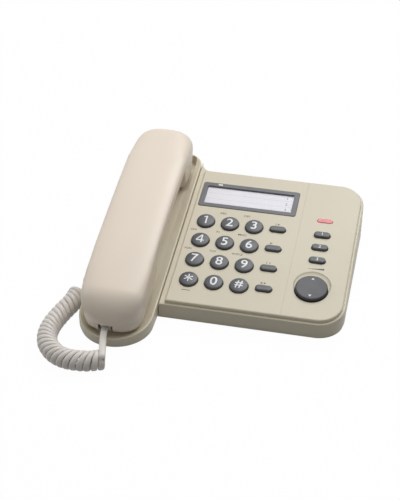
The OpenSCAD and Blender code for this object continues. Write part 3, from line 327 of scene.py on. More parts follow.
def make_piece(bm, name, materials, body, slot, *nodes, smooth=True):
    """Turns a bmesh in metres into a piece that rides on a body and stands for CAD nodes."""
    mesh = bpy.data.meshes.new(name)
    bm.to_mesh(mesh)
    bm.free()
    for polygon in mesh.polygons:
        polygon.use_smooth = smooth
    for material in materials:
        mesh.materials.append(material)
    piece = bpy.data.objects.new(name, mesh)
    scene.collection.objects.link(piece)
    if body:
        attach(piece, body)
    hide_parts(*nodes)
    return piece


# Flexible PVC jacket: satin, slightly greasy sheen, with faint die lines along it.
pvc = plastic("flexible_pvc_cord_jacket", "#e6e1dc", "#dcd7d1", 0.42, 0.05, 0.5, 0.10,
              ior=1.52, cloud=9.0)
cord_piece = make_piece(tube, "handset_cord", [pvc], None, "cord_jacket",
                        "handset_lead", "curly_cord", "base_lead")
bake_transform(cord_piece)

# ------------ cradle housing
# Injection-moulded ABS trough for the handset: a thin crest all round, a flange that
# slopes inwards, and two wells for the mouthpiece and the earpiece.
wall, pan_top, groove = 2.2, 4.5, 0.4
cradle_r, cradle_corner = cradle_w / 2, 14.0
cradle_y0, cradle_y1 = -base_d / 2, base_d / 2
rim_up, flange_in, dish_n = 0.8, 7.3, -2.2
well_t, mouth_floor, ear_floor = 1.4, -3.2, -6.3
ear_l = 38.5
ear_v0 = hs_v1 - ear_l
hook_v, tab_v = ear_v0 + 9, ear_v0 - 14


def arc(cx, cy, r, start, end, parts):
    """Points of an arc in the plan, from one angle to another, in degrees."""
    return [(cx + r * cos(radians(start + (end - start) * i / parts)),
             cy + r * sin(radians(start + (end - start) * i / parts)))
            for i in range(parts + 1)]


def nosed(x, y0, y1, r, rc, nose_parts, corner_parts):
    """Outline with a round nose about (x, y0) and two smaller round corners at the back, y1."""
    return (arc(x, y0, r, 180, 360, nose_parts) + arc(x + r - rc, y1 - rc, rc, 0, 90, corner_parts)
            + arc(x - r + rc, y1 - rc, rc, 90, 180, corner_parts))


def cradle_outline(inset):
    """The cradle seen from above."""
    return nosed(cradle_x, cradle_y0 + cradle_r, cradle_y1 - inset, cradle_r - inset,
                 cradle_corner - inset, 48, 14)


def roofed(outline, n, inset=0.0):
    """An outline at an inset, raised to the sloping plane at height n."""
    return [(x, y, ledge_z + (y - deck_y) * tan(tilt) + n / cos(tilt)) for x, y in outline(inset)]


def as_object(bm):
    """A solid as an object of its own, for a modifier."""
    mesh = bpy.data.meshes.new("helper")
    bm.to_mesh(mesh)
    bm.free()
    helper = bpy.data.objects.new("helper", mesh)
    scene.collection.objects.link(helper)
    return helper


def applied(work, *helpers):
    """The mesh of an object with its modifiers applied; it and its helpers are taken away."""
    mesh = bpy.data.meshes.new_from_object(work.evaluated_get(bpy.context.evaluated_depsgraph_get()))
    bpy.data.batch_remove([part for helper in (work,) + helpers for part in (helper, helper.data)])
    bm = bmesh.new()
    bm.from_mesh(mesh)
    bpy.data.meshes.remove(mesh)
    return bm


def combined(bm, cutters, added=(), untidy=False):
    """The solid with others added and then cutters taken out, one after another;
    untidy is for a solid whose thickened sheet may touch itself."""
    work, tools = as_object(bm), []
    for operation, others in (("UNION", added), ("DIFFERENCE", cutters)):
        for other in others:
            tools.append(as_object(other))
            modifier = work.modifiers.new("cut", "BOOLEAN")
            modifier.operation, modifier.solver, modifier.object = operation, "EXACT", tools[-1]
            modifier.use_self = untidy
    return applied(work, *tools)


def joined(parts):
    """Several bmeshes as one."""
    result = bmesh.new()
    for part in parts:
        mesh = bpy.data.meshes.new("joined")
        part.to_mesh(mesh)
        part.free()
        result.from_mesh(mesh)
        bpy.data.meshes.remove(mesh)
    return result


def rounded(r, parts=5):
    """Insets and drops of a quarter-round edge, from the wall to the top."""
    return [(r * (1 - cos(a)), -r * (1 - sin(a)))
            for a in (pi / 2 * i / parts for i in range(parts + 1))]


def plate_frame(x, v, n=0.0):
    """Places a part that is modelled in mm on the sloping plane: x, up the slope, square to it."""
    return (Matrix.Translation(slope_point(x, v, n) * MM) @ Matrix.Rotation(tilt, 4, "X")
            @ Matrix.Scale(MM, 4))


def slope_stack(rings, x, v, n=0.0):
    """A closed solid from rings of (x, y, z) in mm, set on the sloping plane."""
    bm = stack(rings, 1)
    bm.transform(plate_frame(x, v, n))
    return bm


def slope_hole(outline, n0, n1, v=0, x=cradle_x):
    """A cutter square to the slope, between two heights."""
    return slope_stack([level(outline, n0), level(outline, n1)], x, v)


def oblong(length, width, grow=0.0):
    """Outline with round ends, centred, grown by so much all round."""
    r, c = width / 2 + grow, (length - width) / 2
    return arc(c, 0, r, -90, 90, 12) + arc(-c, 0, r, 90, 270, 12)


def rounded_box(x0, x1, y0, y1, radii, parts=6):
    """Outline of a rectangle whose corners, from the front left one on, have one radius or four."""
    result = []
    corners = (x0, y0, 1, 1), (x1, y0, -1, 1), (x1, y1, -1, -1), (x0, y1, 1, -1)
    for i, (x, y, to_x, to_y) in enumerate(corners):
        r, steps = (radii[i], parts[i]) if isinstance(radii, tuple) else (radii, parts)
        result += arc(x + to_x * r, y + to_y * r, r, 180 + 90 * i, 270 + 90 * i, steps)
    return result


def level(outline, z):
    """An outline's points at one height."""
    return [(x, y, z) for x, y in outline]


def block(*sides):
    """A box between two places on each axis, in mm."""
    bm = bmesh.new()
    bmesh.ops.create_cube(bm, size=1)
    for vert in bm.verts:
        vert.co = [side[c > 0] * MM for side, c in zip(sides, vert.co)]
    return bm


def crisp(piece, angle=32):
    """Smooth shading that breaks at sharp edges, weighted by face size so that flats stay flat."""
    bm = bmesh.new()
    bm.from_mesh(piece.data)
    for edge in bm.edges:
        edge.smooth = len(edge.link_faces) == 2 and edge.calc_face_angle(3.0) < radians(angle)
    bm.to_mesh(piece.data)
    bm.free()
    piece.modifiers.new("even_shading", "WEIGHTED_NORMAL").keep_sharp = True
    return piece


crest = [level(cradle_outline(0), pan_top)]
crest += [roofed(cradle_outline, rim_up + drop, inset) for inset, drop in rounded(0.8)]
crest += [roofed(cradle_outline, n, inset) for inset, n in (
    (1.15, rim_up - 0.03), (1.4, rim_up - 0.12), (1.8, rim_up - 0.3), (6.2, -1.82), (6.8, -2.05),
    (flange_in, -2.16), (8.0, dish_n))]
trough = stack(crest)

mouth_half, mouth_back, mouth_corner, ear_half = 19.8, 17.0, 6.0, 22.4


def mouth_outline(inset):
    """The mouthpiece's well: round at the front, with small corners at the back."""
    return nosed(0, hs_v0 + 20.7, mouth_back - inset, mouth_half - inset, mouth_corner - inset, 36, 8)


def ear_outline(inset):
    """The earpiece's well: a box with rounded corners, up to the cradle's back wall."""
    half, back = ear_half - inset, (cradle_y1 - wall - deck_y) / cos(tilt) - 0.4 - inset
    return rounded_box(-half, half, ear_v0 - 2.6 + inset, back, 4 - min(inset, 3), 8)


def well_cutter(outline, floor):
    """A well with a rounded bottom edge, standing up through the flange."""
    return slope_stack([level(outline(inset), floor - drop) for inset, drop in reversed(rounded(1.2, 4))]
                       + [level(outline(0), 4)], cradle_x, 0)


hollow = combined(stack([level(cradle_outline(wall), pan_top - 1),
                         roofed(cradle_outline, dish_n - well_t, wall)]),
                  [slope_hole(outline(-grow), floor - well_t, 4)
                   for outline, grow, floor in ((mouth_outline, well_t, mouth_floor),
                                                (ear_outline, well_t - 0.05, ear_floor))])
hook_l, hook_w, tab_hole_x, tab_hole_y, plug_hole_y, plug_hole_z = 9.5, 5.5, 7.05, 0.95, 4, 3.2
hook_hole = slope_hole(oblong(hook_l, hook_w), ear_floor - 4, ear_floor + 2, hook_v)
tab_hole = slope_hole(rounded_box(-tab_hole_x, tab_hole_x, -tab_hole_y, tab_hole_y, 0.1, 1), -6, 0, tab_v)
plug_hole = block((cradle_x - cradle_r - 2, cradle_x - cradle_r + wall + 1),
                  (base_jack_y - plug_hole_y, base_jack_y + plug_hole_y),
                  (base_jack_z - plug_hole_z, base_jack_z + plug_hole_z))
# The wires pass from the cradle to the key deck through a gate in both walls.
gate_y, gate_z = (-16, -4), (pan_top - 1, pan_top + 6)
trough = combined(trough, [hollow, well_cutter(mouth_outline, mouth_floor),
                           well_cutter(ear_outline, ear_floor), hook_hole, tab_hole, plug_hole,
                           block((cradle_x + cradle_r - 4, cradle_x + cradle_r + 6), gate_y, gate_z)])
rests = [slope_stack([level(rounded_box(-9 + i, 9 - i, -0.8 + i, 0.8 - i, 0.3, 2), z)
                      for i, z in ((0, -0.2), (0, 1.5), (0.2, 1.7))], cradle_x, v, mouth_floor)
         for v in (-22, 4)]
trough = joined([trough] + rests)

# Textured ABS in pale ivory: a spark-eroded grain takes the gloss down to a soft sheen. The grain
# is drawn coarser than the real one, which is too fine to show.
ivory = plastic("textured_abs_ivory", "#d6cfbb", "#d2cab5", 0.46, 0.03, 0.45, 0.22,
                ior=1.54, cloud=60.0)
crisp(make_piece(trough, "cradle_trough", [ivory], "base", "case_ivory", "cradle_housing"))

# ------------ handset
# Two glossy-smooth ABS half shells with a fine parting line along their sides, held
# by two screws from below; the nose has the slot of the cord's socket.
hs_top, hs_under, mouth_deep, ear_deep = 36.5, 21.0, 1.2, 6.0
hs_w2, hs_waist, crown_v = 24.3, 0.9, 85.0
seam_nose, seam_handle, seam_heel = 9.0, 26.5, 8.0
shell_t, seam_gap = 2.0, 0.1
parting = (0, 0.22), (0.16, 0.06), (0.4, 0)     # height over the seam, and how far the wall tucks in
lean, lean_below = 0.0035, 34                   # the sides draw in a little below this height
crown_bend = 0.0005                             # how fast the top falls away from its crown
side_points = 28
ear_mid, mic_v = ear_v0 + ear_l / 2, -9.0


def ease(v, v0, v1, a, b):
    """From a to b between v0 and v1, level at both ends."""
    t = min(1, max(0, (v - v0) / (v1 - v0)))
    return a + (b - a) * t * t * (3 - 2 * t)


def rounding(d, length, power):
    """1 before a rounded end starts, then falling along a superellipse to 0 at its length."""
    return max(0, 1 - (min(max(d, 0), length) / length) ** power) ** (1 / power)


# Length and power of the rounding at the nose and at the heel: in plan, above and below the seam.
plan_ends, upper_ends, lower_ends = ((20, 2.4), (19, 2.3)), ((19, 2.2), (13, 2.2)), ((14, 2.5), (10, 3))


def rounded_ends(v, nose, heel):
    """The share of its full size that the handset has at v, near either end."""
    return rounding(hs_v0 + nose[0] - v, *nose) * rounding(v - hs_v1 + heel[0], *heel)


def handset_form(v):
    """Half width, seam height, reach above the seam and reach below it, at v up the slope."""
    half = (hs_w2 - ease(v, -10, 30, 0, hs_waist)) * rounded_ends(v, *plan_ends)
    seam = (ease(v, hs_v0 + 8, 26, seam_nose, seam_handle) if v < 60
            else ease(v, ear_v0 - 6, ear_v0 + 8, seam_handle, seam_heel))
    belly = (ease(v, 8, 40, -mouth_deep, hs_under) if v < 60
             else ease(v, ear_v0 - 6, ear_v0, hs_under, -ear_deep))
    up = (hs_top - crown_bend * (v - crown_v) ** 2 - seam) * rounded_ends(v, *upper_ends)
    return half, seam, up, (seam - belly) * rounded_ends(v, *lower_ends)


turns_of_a_corner = [radians(a) for a in (0, 0.06, 0.4, 1.4, 3.5, 7, 12, 18, 25, 33, 41, 49, 57, 64,
                                               70, 76, 81, 85, 88, 89.5, 90)]
# The shell's cross-sections stand close together at both ends and 2.2 mm apart between them.
near_end = [22 * (1 - cos(radians(a))) for a in range(0, 91, 4)]
stations = sorted({round(v, 3) for v in [hs_v0 + d for d in near_end] + [hs_v1 - d for d in near_end]
                   + [hs_v0 + 22 + i * 2.2 for i in range(64)]})
stations = [v for v, w in zip(stations, stations[1:] + [999]) if w - v > 0.02]


def sheet_through(rows):
    """An open sheet through rows with equal numbers of points, drawn out row by row."""
    bm = bmesh.new()
    verts = [bm.verts.new(p) for p in rows[0]]
    edges = [bm.edges.new(pair) for pair in zip(verts, verts[1:])]
    for row in rows[1:]:
        drawn = bmesh.ops.extrude_edge_only(bm, edges=edges)["geom"]
        fresh = {v for v in drawn if isinstance(v, bmesh.types.BMVert)}
        edges = [e for e in drawn if isinstance(e, bmesh.types.BMEdge)]
        verts = [next(e.other_vert(v) for e in v.link_edges if e.other_vert(v) in fresh) for v in verts]
        for vert, p in zip(verts, row):
            vert.co = p
    return bm


def by_end(v, nose, top, heel):
    """A size of the back shell that changes from the nose over the handle to the heel."""
    return ease(v, hs_v0 + 4, 4, nose, top) + ease(v, ear_v0 - 4, hs_v1 - 6, 0, heel - top)


def half_shell(upward):
    """One half of the handset as a thick shell, open at the seam."""
    rows = []
    for v in stations:
        half, seam, up, down = handset_form(v)
        depth, corner, power = ((up, by_end(v, 15, 10, 17), by_end(v, 3.2, 4.6, 2.7)) if upward
                                else (down, 6, 4))
        wall_h = max(0.15 * depth, depth - corner)
        side = [(z, 1, tuck) for z, tuck in parting if z < wall_h]
        z0 = parting[-1][0]
        side += [(z0 + (wall_h - z0) * k / 5, 1, 0) for k in range(1, 6) if wall_h > z0]
        side += [(wall_h + (depth - wall_h) * sin(a) ** (2 / power),
                  max(0, cos(a)) ** (2 / power), 0) for a in turns_of_a_corner[1:]]
        side = side[:1] * (side_points - len(side)) + side
        row = []
        for sign, part in ((1, side), (-1, side[-2::-1])):
            for z, share, tuck in part:
                n = seam + (z if upward else -z - seam_gap)
                x = max(0, half * share - tuck) * (1 - lean * max(0, lean_below - n))
                row.append((sign * x, v, n))
        rows.append(row)
    bm = sheet_through(rows)
    bmesh.ops.remove_doubles(bm, verts=bm.verts, dist=0.012)
    bmesh.ops.dissolve_degenerate(bm, edges=bm.edges, dist=0.004)
    bmesh.ops.recalc_face_normals(bm, faces=bm.faces)
    top = max(bm.faces, key=lambda f: f.calc_center_median().z * (1 if upward else -1))
    if (top.normal.z > 0) != upward:
        bmesh.ops.reverse_faces(bm, faces=bm.faces)
    bm.transform(plate_frame(cradle_x, 0))
    sheet = as_object(bm)
    thick = sheet.modifiers.new("thick", "SOLIDIFY")
    thick.thickness, thick.offset = shell_t * MM, -1
    return applied(sheet)


def bore(x, v, n0, n1, r, parts=20):
    """A round cutter square to the slope, at x from the cradle's middle line."""
    return slope_hole(arc(0, 0, r, 0, 360 - 360 / parts, parts - 1), n0, n1, v, cradle_x + x)


slot_half, slot_high, slot_deep = 5.5, 3.5, 9
slot_cut = slope_hole(rounded_box(-slot_half, slot_half, hs_v0 - 1, hs_v0 + slot_deep, 0.4, 2),
                      hs_jack_n - slot_high, hs_jack_n + slot_high, 0, cradle_x + hs_jack_x)
# Through the face shell: seven sound holes at the ear, three at the mouth, and two screw holes.
sound_ring, sound_r, mic_pitch, mic_hole_r, screw_r, screw_head_r = 5, 1, 3, 0.8, 1.25, 2.8
face_holes = [bore(x, ear_mid + y, -10, 0, sound_r)
              for x, y in arc(0, 0, sound_ring, 0, 300, 5) + [(0, 0)]]
face_holes += [bore(x, mic_v, -5, 3, mic_hole_r) for x in (-mic_pitch, 0, mic_pitch)]
for v in (0, ear_v0 + 5):
    lowest = handset_form(v)[1] - handset_form(v)[3]
    face_holes += [bore(0, v, lowest - 1, lowest + 4, screw_r),
                   bore(0, v, lowest - 1, lowest + 1.2, screw_head_r, 32)]
# Warm ivory ABS, polished a little finer than the base.
handset_ivory = plastic("smooth_abs_warm_ivory", "#ebdfd0", "#e7dbcb", 0.38, 0.03, 0.40, 0.10,
                        ior=1.54, cloud=60.0)
back_shell = combined(half_shell(True), [slot_cut.copy()], untidy=True)
face_shell = combined(half_shell(False), [slot_cut] + face_holes)
for shell, name in ((back_shell, "handset_back"), (face_shell, "handset_face")):
    crisp(make_piece(shell, name, [handset_ivory], "handset", "handset_ivory", name + "_shell"), 40)

# ------------ deck housing
# The upper half of the case, one ABS moulding: a narrow ledge all round and, raised
# on it, the key deck with its openings, the card's pocket and the rocker's recess.
ledge_w, deck_rise, deck_corner_r, gusset_r, strip_w = 1.8, 2.7, 18.0, 11.0, 4.4
split_x = cradle_x + cradle_r + groove
deck_x = split_x + strip_w
case_x1 = base_w / 2
deck_w = case_x1 - ledge_w - deck_x
case_y0, case_y1 = deck_y - ledge_w, deck_y + deck_l * cos(tilt) + ledge_w
key_r, key_gap, key_stand, dome_r = 6.9, 0.25, 2.6, 30.0
key_pitch_x, key_pitch_y, key_first_x, key_first_y = 18.9, 21.0, 12.9, 23.1
pill_l, pill_w, pill_stand = 12.4, 5.4, 2.1
func_x, side_x, mem_y, mem_pitch = 69.0, 103.393, 86.3, 13.6
rocker_r, rocker_stand, rocker_y = 12.0, 2.8, 29.2
lamp_l, lamp_w, lamp_y = 12.5, 4.4, 102.4
frame_x, frame_y, frame_l, frame_w, frame_bar = 2.6, 103.3, 77.3, 27.6, 4.0


def deck_outline(inset):
    """The deck housing seen from above, with a hollow corner where it meets the cradle."""
    rc, r0 = deck_corner_r + ledge_w - inset, 0.5
    x0, x1, y0, y1 = split_x + inset, case_x1 - inset, case_y0 + inset, case_y1 - inset
    gx, gy, gr = split_x + gusset_r, case_y1 + gusset_r, gusset_r + inset
    end = degrees(acos((gusset_r - inset) / gr))
    return (arc(x0 + r0, y0 + r0, r0, 180, 270, 4) + arc(x1 - rc, y0 + rc, rc, 270, 360, 24)
            + arc(x1 - rc, y1 - rc, rc, 0, 90, 24) + arc(gx, gy, gr, 270, 180 + end, 14))


def plateau_outline(inset):
    """The raised key deck in its own plane, from its front left corner."""
    r = deck_corner_r - inset
    return rounded_box(inset, deck_w - inset, inset, deck_l - inset, (0.5, r, r, 0.5), (4, 24, 24, 4))


def on_deck(bm, u=0, v=0):
    """Sets a solid in mm on the key deck's top, measured from its front left corner."""
    bm.transform(plate_frame(deck_x + u, v, deck_rise))
    return bm


def deck_stack(rings, u=0, v=0):
    """A closed solid from rings in mm, set on the key deck's top."""
    return on_deck(stack(rings, 1), u, v)


def levels(outline, *steps):
    """Rings of an outline that takes a growth or an inset, each with its height."""
    return [level(outline(grow), z) for grow, z in steps]


def key_place(column, row):
    """Middle of a round key, counted from the front left one."""
    return key_first_x + column * key_pitch_x, key_first_y + row * key_pitch_y


def spun(profile, parts):
    """A closed solid turned from (radius, height) points, the first and last on the axis."""
    bm = bmesh.new()
    verts = [bm.verts.new((r, 0, z)) for r, z in profile]
    edges = [bm.edges.new(pair) for pair in zip(verts, verts[1:])]
    bmesh.ops.spin(bm, geom=verts + edges, cent=(0, 0, 0), axis=(0, 0, 1), angle=2 * pi,
                   steps=parts, use_merge=True)
    bmesh.ops.remove_doubles(bm, verts=bm.verts, dist=1e-4)
    bmesh.ops.recalc_face_normals(bm, faces=bm.faces)
    return bm


edge_r = 1.3                                # the raised deck's rounded edge
case = [level(deck_outline(0), pan_top)]
case += [roofed(deck_outline, drop, inset) for inset, drop in rounded(0.9)]
plateau = levels(plateau_outline, (0, -deck_rise - 1), *rounded(edge_r))
inner = levels(plateau_outline, (wall, -deck_rise - wall - 1), (wall, -wall))
shell = combined(stack(case), [stack([level(deck_outline(wall), pan_top - 1),
                                      roofed(deck_outline, -wall, wall)]),
                               deck_stack(inner)], added=[deck_stack(plateau)])

lip = [(0.0, -4.0), (0.0, -0.45), (0.06, -0.22), (0.2, -0.06), (0.42, 0.0), (0.6, 1.5)]
key_hole = [(0, -4)] + [(key_r + key_gap + grow, z) for grow, z in lip] + [(0, 1.5)]
holes = [on_deck(spun(key_hole, 56), *key_place(column, row)) for column in range(3) for row in range(4)]
pills = [(func_x, key_first_y + 0.4 + i * key_pitch_y) for i in (3, 2, 1, 0)]
pills += [(side_x, mem_y - i * mem_pitch) for i in range(3)]
holes += [deck_stack([level(oblong(pill_l, pill_w, key_gap + grow), z) for grow, z in lip], u, v)
          for u, v in pills]
holes.append(deck_stack([level(oblong(lamp_l, lamp_w, 0.05), z) for z in (-4, 1)], side_x, lamp_y))

# The rocker's recess is a shallow scoop that reaches further up the slope than down it.
hole_r, scoop_r, scoop_shift = rocker_r + 0.5, rocker_r + 1.9, 4.6


def scoop_ring(share, z, grow=0.0):
    """One ring of the scoop, from the rocker's hole at share 0 to the scoop's edge at share 1."""
    ring = []
    for a in (2 * pi * k / 96 for k in range(96)):
        reach = scoop_shift * sin(a) + sqrt(scoop_r ** 2 - (scoop_shift * cos(a)) ** 2)
        reach = (hole_r ** 30 + reach ** 30) ** (1 / 30)        # the larger of the two, blended
        r = hole_r + (reach - hole_r) * share + grow
        ring.append((r * cos(a), r * sin(a), z))
    return ring


dish = deck_stack([scoop_ring(0, -1.35)] + [scoop_ring(share, z) for share, z in (
    (0.3, -1.32), (0.55, -1.2), (0.78, -0.86), (0.92, -0.4), (0.99, -0.07))]
    + [scoop_ring(1, 0.0, 0.15), scoop_ring(1, 1.5, 0.3)], side_x, rocker_y)
well = on_deck(spun([(0, -4), (hole_r, -4), (hole_r, -1.3), (hole_r + 0.25, -1.2),
                     (hole_r + 0.3, 0.5), (0, 0.5)], 96), side_x, rocker_y)


def pocket_outline(grow):
    """The pocket for the card's frame, in the deck's plane."""
    return rounded_box(frame_x - grow, frame_x + frame_l + grow, frame_y - grow,
                       frame_y + frame_w + grow, 2 + grow, 6)


pocket = deck_stack(levels(pocket_outline, (0.05, -1.4), (0.05, -0.2), (0.2, 0), (0.3, 1)))

# A fine parting groove runs over the deck and down its front edge, right of the function keys.
groove_u, groove_deep, groove_half = 85.0, 0.32, 0.16
profile = [(-1, -deck_rise), (-1, 1), (deck_l + 1, 1), (deck_l + 1, -deck_rise),
           (deck_l - groove_deep, -deck_rise)]
bend = arc(0, -edge_r, edge_r - groove_deep, 0, 90, 5)
profile += [(deck_l - edge_r + out, n) for out, n in bend]
profile += [(edge_r - out, n) for out, n in reversed(bend)] + [(groove_deep, -deck_rise)]
line_cut = deck_stack([[(x, v, n) for v, n in profile] for x in (-groove_half, groove_half)], groove_u, 0)
sockets = [block((x - w, x + w), (case_y1 - 4, case_y1 + 2), (z - h, z + h))
           for x, z, w, h in ((30.0, 9.1, 4.9, 3.4), (62.0, 10.6, 5.0, 1.7))]
shell = combined(shell, holes + [dish, well, pocket, line_cut,
                                 block((split_x - 4, split_x + 4), gate_y, gate_z)] + sockets)


def figures(text, height, bold=0.0, cuts=4):
    """The outlines of a text as flat faces, centred, its height in mm."""
    curve = bpy.data.curves.new("figures", "FONT")
    curve.body, curve.offset, curve.resolution_u = text, bold, 6
    sign = bpy.data.objects.new("figures", curve)
    scene.collection.objects.link(sign)
    bm = applied(sign)
    xs, ys = [v.co.x for v in bm.verts], [v.co.y for v in bm.verts]
    size = height / (max(ys) - min(ys))
    middle = Vector((min(xs) + max(xs), min(ys) + max(ys), 0)) / 2
    bmesh.ops.transform(bm, matrix=Matrix.Scale(size, 4) @ Matrix.Translation(-middle), verts=bm.verts)
    bmesh.ops.triangulate(bm, faces=bm.faces)
    for _ in range(cuts):
        long_edges = [e for e in bm.edges if e.calc_length() > 1.0]
        bmesh.ops.subdivide_edges(bm, edges=long_edges, cuts=1)
        bmesh.ops.triangulate(bm, faces=bm.faces)
    return bm


def laid_on(bm, height_at, lift=0.035):
    """Lifts flat figures onto a curved top, facing up, in the piece's second material."""
    for v in bm.verts:
        v.co.z = height_at(v.co.x, v.co.y) + lift
    for face in bm.faces:
        face.normal_update()
        if face.normal.z < 0:
            face.normal_flip()
        face.material_index = 1
    return bm


def moved(bm, x, y):
    """Shifts a shape in its own plane, in mm."""
    bm.transform(Matrix.Translation((x, y, 0)))
    return bm


def flat_mark(corners, u=0, v=0):
    """A small printed shape from its corners, at a place on the deck."""
    bm = bmesh.new()
    bm.faces.new([bm.verts.new((x, y, 0)) for x, y in corners])
    return moved(bm, u, v)


# Pad-printed marks in dark ink: the dial's letters, plain signs over the function keys
# and the ramp over the rocker.
marks = []
for i, letters in enumerate(("ABC", "DEF", "GHI", "JKL", "MNO", "PQRS", "TUV", "WXYZ")):
    u, v = key_place((i + 1) % 3, 3 - (i + 1) // 3)
    marks.append(moved(figures(letters, 2.0, 0.012, 0), u - 7.4, v + 11.3))
bar = [(-0.25, -0.9), (0.25, -0.9), (0.25, 0.9), (-0.25, 0.9)]
wedge_sign = [(-1.0, -0.9), (1.0, 0), (-1.0, 0.9)]
signs = [[bar, wedge_sign], [wedge_sign], [bar, bar], [wedge_sign, wedge_sign]]
for (u, v), shapes in zip(pills, signs):
    for i, shape in enumerate(shapes):
        marks.append(flat_mark(shape, u - 2.2 + 2.4 * i, v + 5.9))
marks.append(flat_mark([(-3.2, -0.3), (3.2, -0.3), (3.2, 0.3), (-3.2, 0.3)],
                       key_first_x, key_first_y - 10.4))
marks.append(flat_mark([(-6.5, -0.7), (6.5, -0.7), (6.5, 1.0)], side_x, rocker_y + 21.5))
ink = finish("dark_pad_printing_ink", "#3c3a36", "#57534c", 0.6, Roughness=0.5)
marks = on_deck(laid_on(joined(marks), lambda x, y: 0.0, lift=0.02))
crisp(make_piece(joined([shell, marks]), "deck_top_housing", [ivory, ink], "base", "case_ivory",
                 "deck_housing"))

# ------------ number and function keys
# Double-shot ABS keytops: dark grey caps with the white figures moulded through them,
# domed a little and rounded at the rim, each held under the deck by its flange.
key_grey = plastic("moulded_abs_key_grey", "#4d4f54", "#494b50", 0.40, 0.03, 0.30, 0.14,
                   ior=1.54, cloud=5.0)
figure_white = plastic("moulded_abs_figure_white", "#eef0f2", "#e6e8ea", 0.38, 0.02, 0.3, 0.05,
                       ior=1.54, cloud=4.0)


def dome(x, y):
    """Height of a round keytop over its deck."""
    return key_stand - dome_r + sqrt(dome_r ** 2 - x * x - y * y)


key_edge = 0.9                              # radius of the cap's rim
key_profile = [(0, key_stand)] + [(r, dome(r, 0)) for r in (1.5, 3.0, 4.5, 5.6)]
rim_z = dome(key_r - key_edge, 0) - 0.06 - key_edge
key_profile += arc(key_r - key_edge, rim_z, key_edge, 78, 0, 6)
# Under the deck: the flange that holds the cap, and the stem over its rubber dome.
flange_w, flange_top, flange_low, stem_r, stem_end = 1.0, -2.4, -3.6, 3.0, -6.4
key_profile += [(key_r, flange_top), (key_r + flange_w, flange_top), (key_r + flange_w, flange_low),
                (stem_r, flange_low), (stem_r, stem_end), (0, stem_end)]


def strokes(lines, width):
    """A figure of straight strokes, each between two points in mm."""
    parts = []
    for x0, y0, x1, y1 in lines:
        stroke = bmesh.new()
        bmesh.ops.create_grid(stroke, x_segments=9, y_segments=1, size=0.5)
        stroke.transform(Matrix.Translation(((x0 + x1) / 2, (y0 + y1) / 2, 0))
                         @ Matrix.Rotation(atan2(y1 - y0, x1 - x0), 4, "Z")
                         @ Matrix.Diagonal((hypot(x1 - x0, y1 - y0), width, 1, 1)))
        parts.append(stroke)
    return joined(parts)


arms = [radians(90 + 60 * k) for k in range(3)]
drawn = {"*": ([(-3.6 * cos(a), -3.6 * sin(a), 3.6 * cos(a), 3.6 * sin(a))
                for a in arms], 0.85),
         "1": ([(0.5, -4.1, 0.5, 4.1), (-1.6, 2.5, 0.5, 3.7)], 1.1),
         "4": ([(1.2, -4.1, 1.2, 4.1), (-3.0, -1.9, 2.9, -1.9), (-2.8, -1.7, 1.0, 3.8)], 1.05)}
for i, sign in enumerate("123456789*0#"):
    node_name = "key_" + {"*": "star", "#": "hash"}.get(sign, sign)
    mark = strokes(*drawn[sign]) if sign in drawn else figures(sign, 7.2 if sign == "#" else 8.2, 0.012)
    cap = joined([spun(key_profile[::-1], 64), laid_on(mark, dome)])
    cap = on_deck(cap, *key_place(i % 3, 3 - i // 3))
    crisp(make_piece(cap, node_name + "_cap", [key_grey, figure_white], node_name, "key_grey",
                     node_name), 40)


pill_crown, pill_edge, pill_stem = 0.035, 0.8, 3.4


def pill_height(x, y):
    """Height of an oblong keytop over its deck: slightly crowned across its width."""
    return pill_stand - pill_crown * y * y


pill_names = ("key_program", "key_flash", "key_pause", "key_redial",
              "key_memory_1", "key_memory_2", "key_memory_3")
for node_name, (u, v) in zip(pill_names, pills):
    rings = [level(oblong(pill_stem, pill_stem), z) for z in (stem_end, flange_low)]
    rings += [level(oblong(pill_l, pill_w, grow), z) for grow, z in (
        (flange_w, flange_low), (flange_w, flange_top), (0, flange_top))]
    top = pill_height(0, pill_w / 2 - pill_edge)
    rings += [level(oblong(pill_l, pill_w, -inset), top + drop) for inset, drop in rounded(pill_edge, 6)]
    rings += [[(x, y, pill_height(x, y)) for x, y in oblong(pill_l, pill_w, -inset)]
              for inset in (1.4, 2.0, 2.5)]
    cap = stack(rings, 1)
    if node_name[-1].isdigit():
        cap = joined([cap, laid_on(figures(node_name[-1], 2.9, 0.01), pill_height)])
    crisp(make_piece(on_deck(cap, u, v), node_name + "_cap", [key_grey, figure_white], node_name,
                     "key_grey", node_name), 40)

# ------------ volume rocker
# A round ABS rocker on a cross axle; its top is dished a little towards the two
# moulded arrowheads, and its rim is rounded.
def rocker_height(x, y):
    """Height of the rocker's top over the deck."""
    return rocker_stand - 0.18 + 0.18 * min(1, (x * x + y * y) / 110)


rocker_edge = 1.2
rocker_profile = [(0, -1.8), (rocker_r, -1.8)]
rocker_profile += [(rocker_r - inset, rocker_stand + drop) for inset, drop in rounded(rocker_edge, 7)]
rocker_profile += [(r, rocker_height(r, 0)) for r in (10.6, 9.6, 8.0, 6.0, 4.0, 2.0, 0)]
rocker = spun(rocker_profile, 96)
arrow_half, arrow_foot, arrow_tip = 1.2, 7.6, 9.4
arrows = [laid_on(flat_mark(((-arrow_half, side * arrow_foot), (arrow_half, side * arrow_foot),
                             (0, side * arrow_tip))), rocker_height) for side in (-1, 1)]
axle_n = -4.4                               # the axle's height under the deck's top
web = stack([level(rounded_box(-3, 3, -2, 2, 0.2, 1), z) for z in (axle_n, -1.7)], 1)
axle = bmesh.new()
bmesh.ops.create_cone(axle, cap_ends=True, segments=20, radius1=1.2, radius2=1.2, depth=29.8)
axle.transform(Matrix.Translation((0, 0, axle_n)) @ Matrix.Rotation(pi / 2, 4, "Y"))
